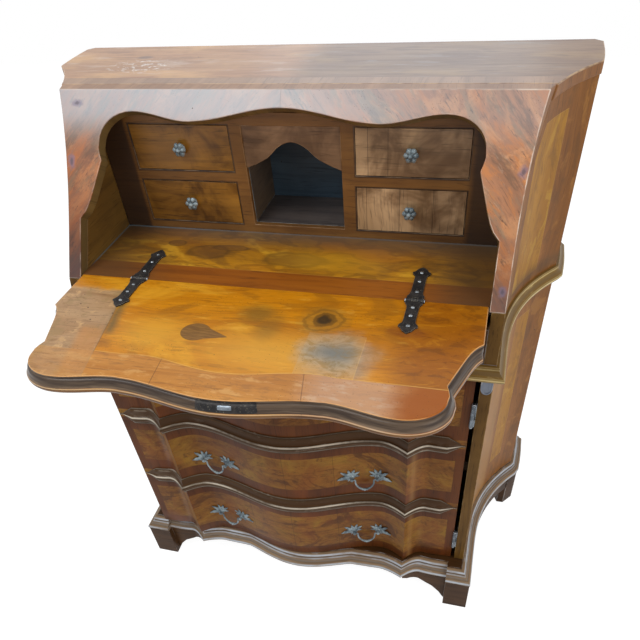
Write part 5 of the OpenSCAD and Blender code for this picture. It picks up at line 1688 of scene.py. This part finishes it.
def photoCamera():
    y, t, r = view["yaw"], view["pitch"], view["roll"]
    forward = Vector((math.sin(y) * math.cos(t), math.cos(y) * math.cos(t), -math.sin(t)))
    level = Vector((math.cos(y), -math.sin(y), 0))
    rise = level.cross(forward)
    right = level * math.cos(r) + rise * math.sin(r)
    up = -level * math.sin(r) + rise * math.cos(r)
    place = spot(*view["from"])
    data = bpy.data.cameras.new("photo_camera")
    image = view["image"]
    data.sensor_width = view["sensor"]
    data.lens = view["focal"] / image * view["sensor"]
    data.shift_x = (image / 2 - view["centre"][0]) / image
    data.shift_y = (view["centre"][1] - image / 2) / image
    data.clip_start = 0.05
    camera = linked("photo_camera", data)
    camera.matrix_world = Matrix((
        (right.x, up.x, -forward.x, place.x),
        (right.y, up.y, -forward.y, place.y),
        (right.z, up.z, -forward.z, place.z),
        (0, 0, 0, 1)))
    bpy.context.scene.camera = camera


studioLights = (
    {"name": "window_light", "place": (-0.95, -1.02, 2.6), "aim": (-0.1, -0.1, 0.8), "size": (1.7, 0.6),
        "power": 25, "colour": (0.95, 0.98, 1.0)},
    {"name": "sky_light", "place": (-0.6, 3.0, 3.0), "aim": (0, 0, 0.8), "size": (2.6, 1.6),
        "power": 20, "colour": (0.86, 0.93, 1.0)},
    {"name": "fill_light", "place": (2.2, -1.1, 1.5), "aim": (0, 0, 0.5), "size": (1.8, 1.8),
        "power": 22, "colour": (1.0, 0.97, 0.92)},
    {"name": "sheen_light", "place": (-0.35, 3.3, 1.86), "aim": (0, 0.1, 1.0), "size": (1.7, 0.55),
        "power": 3.2, "colour": (0.55, 0.8, 1.0)},
)


# the rays that see the white backdrop: the camera's, and those reflected in gloss or passed through glass
def whiteFor(graph):
    kinds = ("Is Camera Ray", "Is Glossy Ray", "Is Transmission Ray")
    rays = [graph.node("ShaderNodeLightPath", None, None, kind) for kind in kinds]
    return rays[0].most(rays[1]).most(rays[2])


def studio():
    world = bpy.data.worlds.new("studio")
    world.use_nodes = True
    world.node_tree.nodes.clear()
    bpy.context.scene.world = world
    graph = Graph(world.node_tree)
    seen = whiteFor(graph)
    soft = graph.node("ShaderNodeBackground", None, {"Color": paint(236, 240, 248), "Strength": 0.5})
    white = graph.node("ShaderNodeBackground", None, {"Color": (1, 1, 1, 1), "Strength": 1.0})
    mixed = graph.node("ShaderNodeMixShader", None, {0: seen, 1: soft, 2: white})
    graph.node("ShaderNodeOutputWorld", None, {0: mixed})
    corners = [(-4, -4, -0.0005), (4, -4, -0.0005), (4, 4, -0.0005), (-4, 4, -0.0005)]
    floorMesh = grownMesh("floor", corners, [[0, 1, 2, 3]])
    floorPiece = linked("floor", floorMesh)
    finish, graph = finishGraph("pale_floor")
    seen = whiteFor(graph)
    plain = graph.node("ShaderNodeBsdfDiffuse", None, {"Color": (0.8, 0.8, 0.8, 1)})
    thin = graph.node("ShaderNodeBsdfDiffuse", None, {"Color": (0.25, 0.25, 0.25, 1)})
    bright = graph.node("ShaderNodeEmission", None, {"Color": (1, 1, 1, 1), "Strength": 0.94})
    both = graph.node("ShaderNodeAddShader", None, {0: thin, 1: bright})
    mixed = graph.node("ShaderNodeMixShader", None, {0: seen, 1: plain, 2: both})
    graph.node("ShaderNodeOutputMaterial", None, {0: mixed})
    floorMesh.materials.append(finish)
    for entry in studioLights:
        data = bpy.data.lights.new(entry["name"], "AREA")
        data.shape = "RECTANGLE"
        data.size, data.size_y = entry["size"]
        data.energy = entry["power"]
        data.color = entry["colour"]
        lamp = linked(entry["name"], data)
        lamp.location = entry["place"]
        way = Vector(entry["aim"]) - Vector(entry["place"])
        lamp.rotation_euler = way.to_track_quat("-Z", "Y").to_euler()
    bpy.context.scene.view_settings.view_transform = "Standard"


photoCamera()
studio()
print("camera and light done")
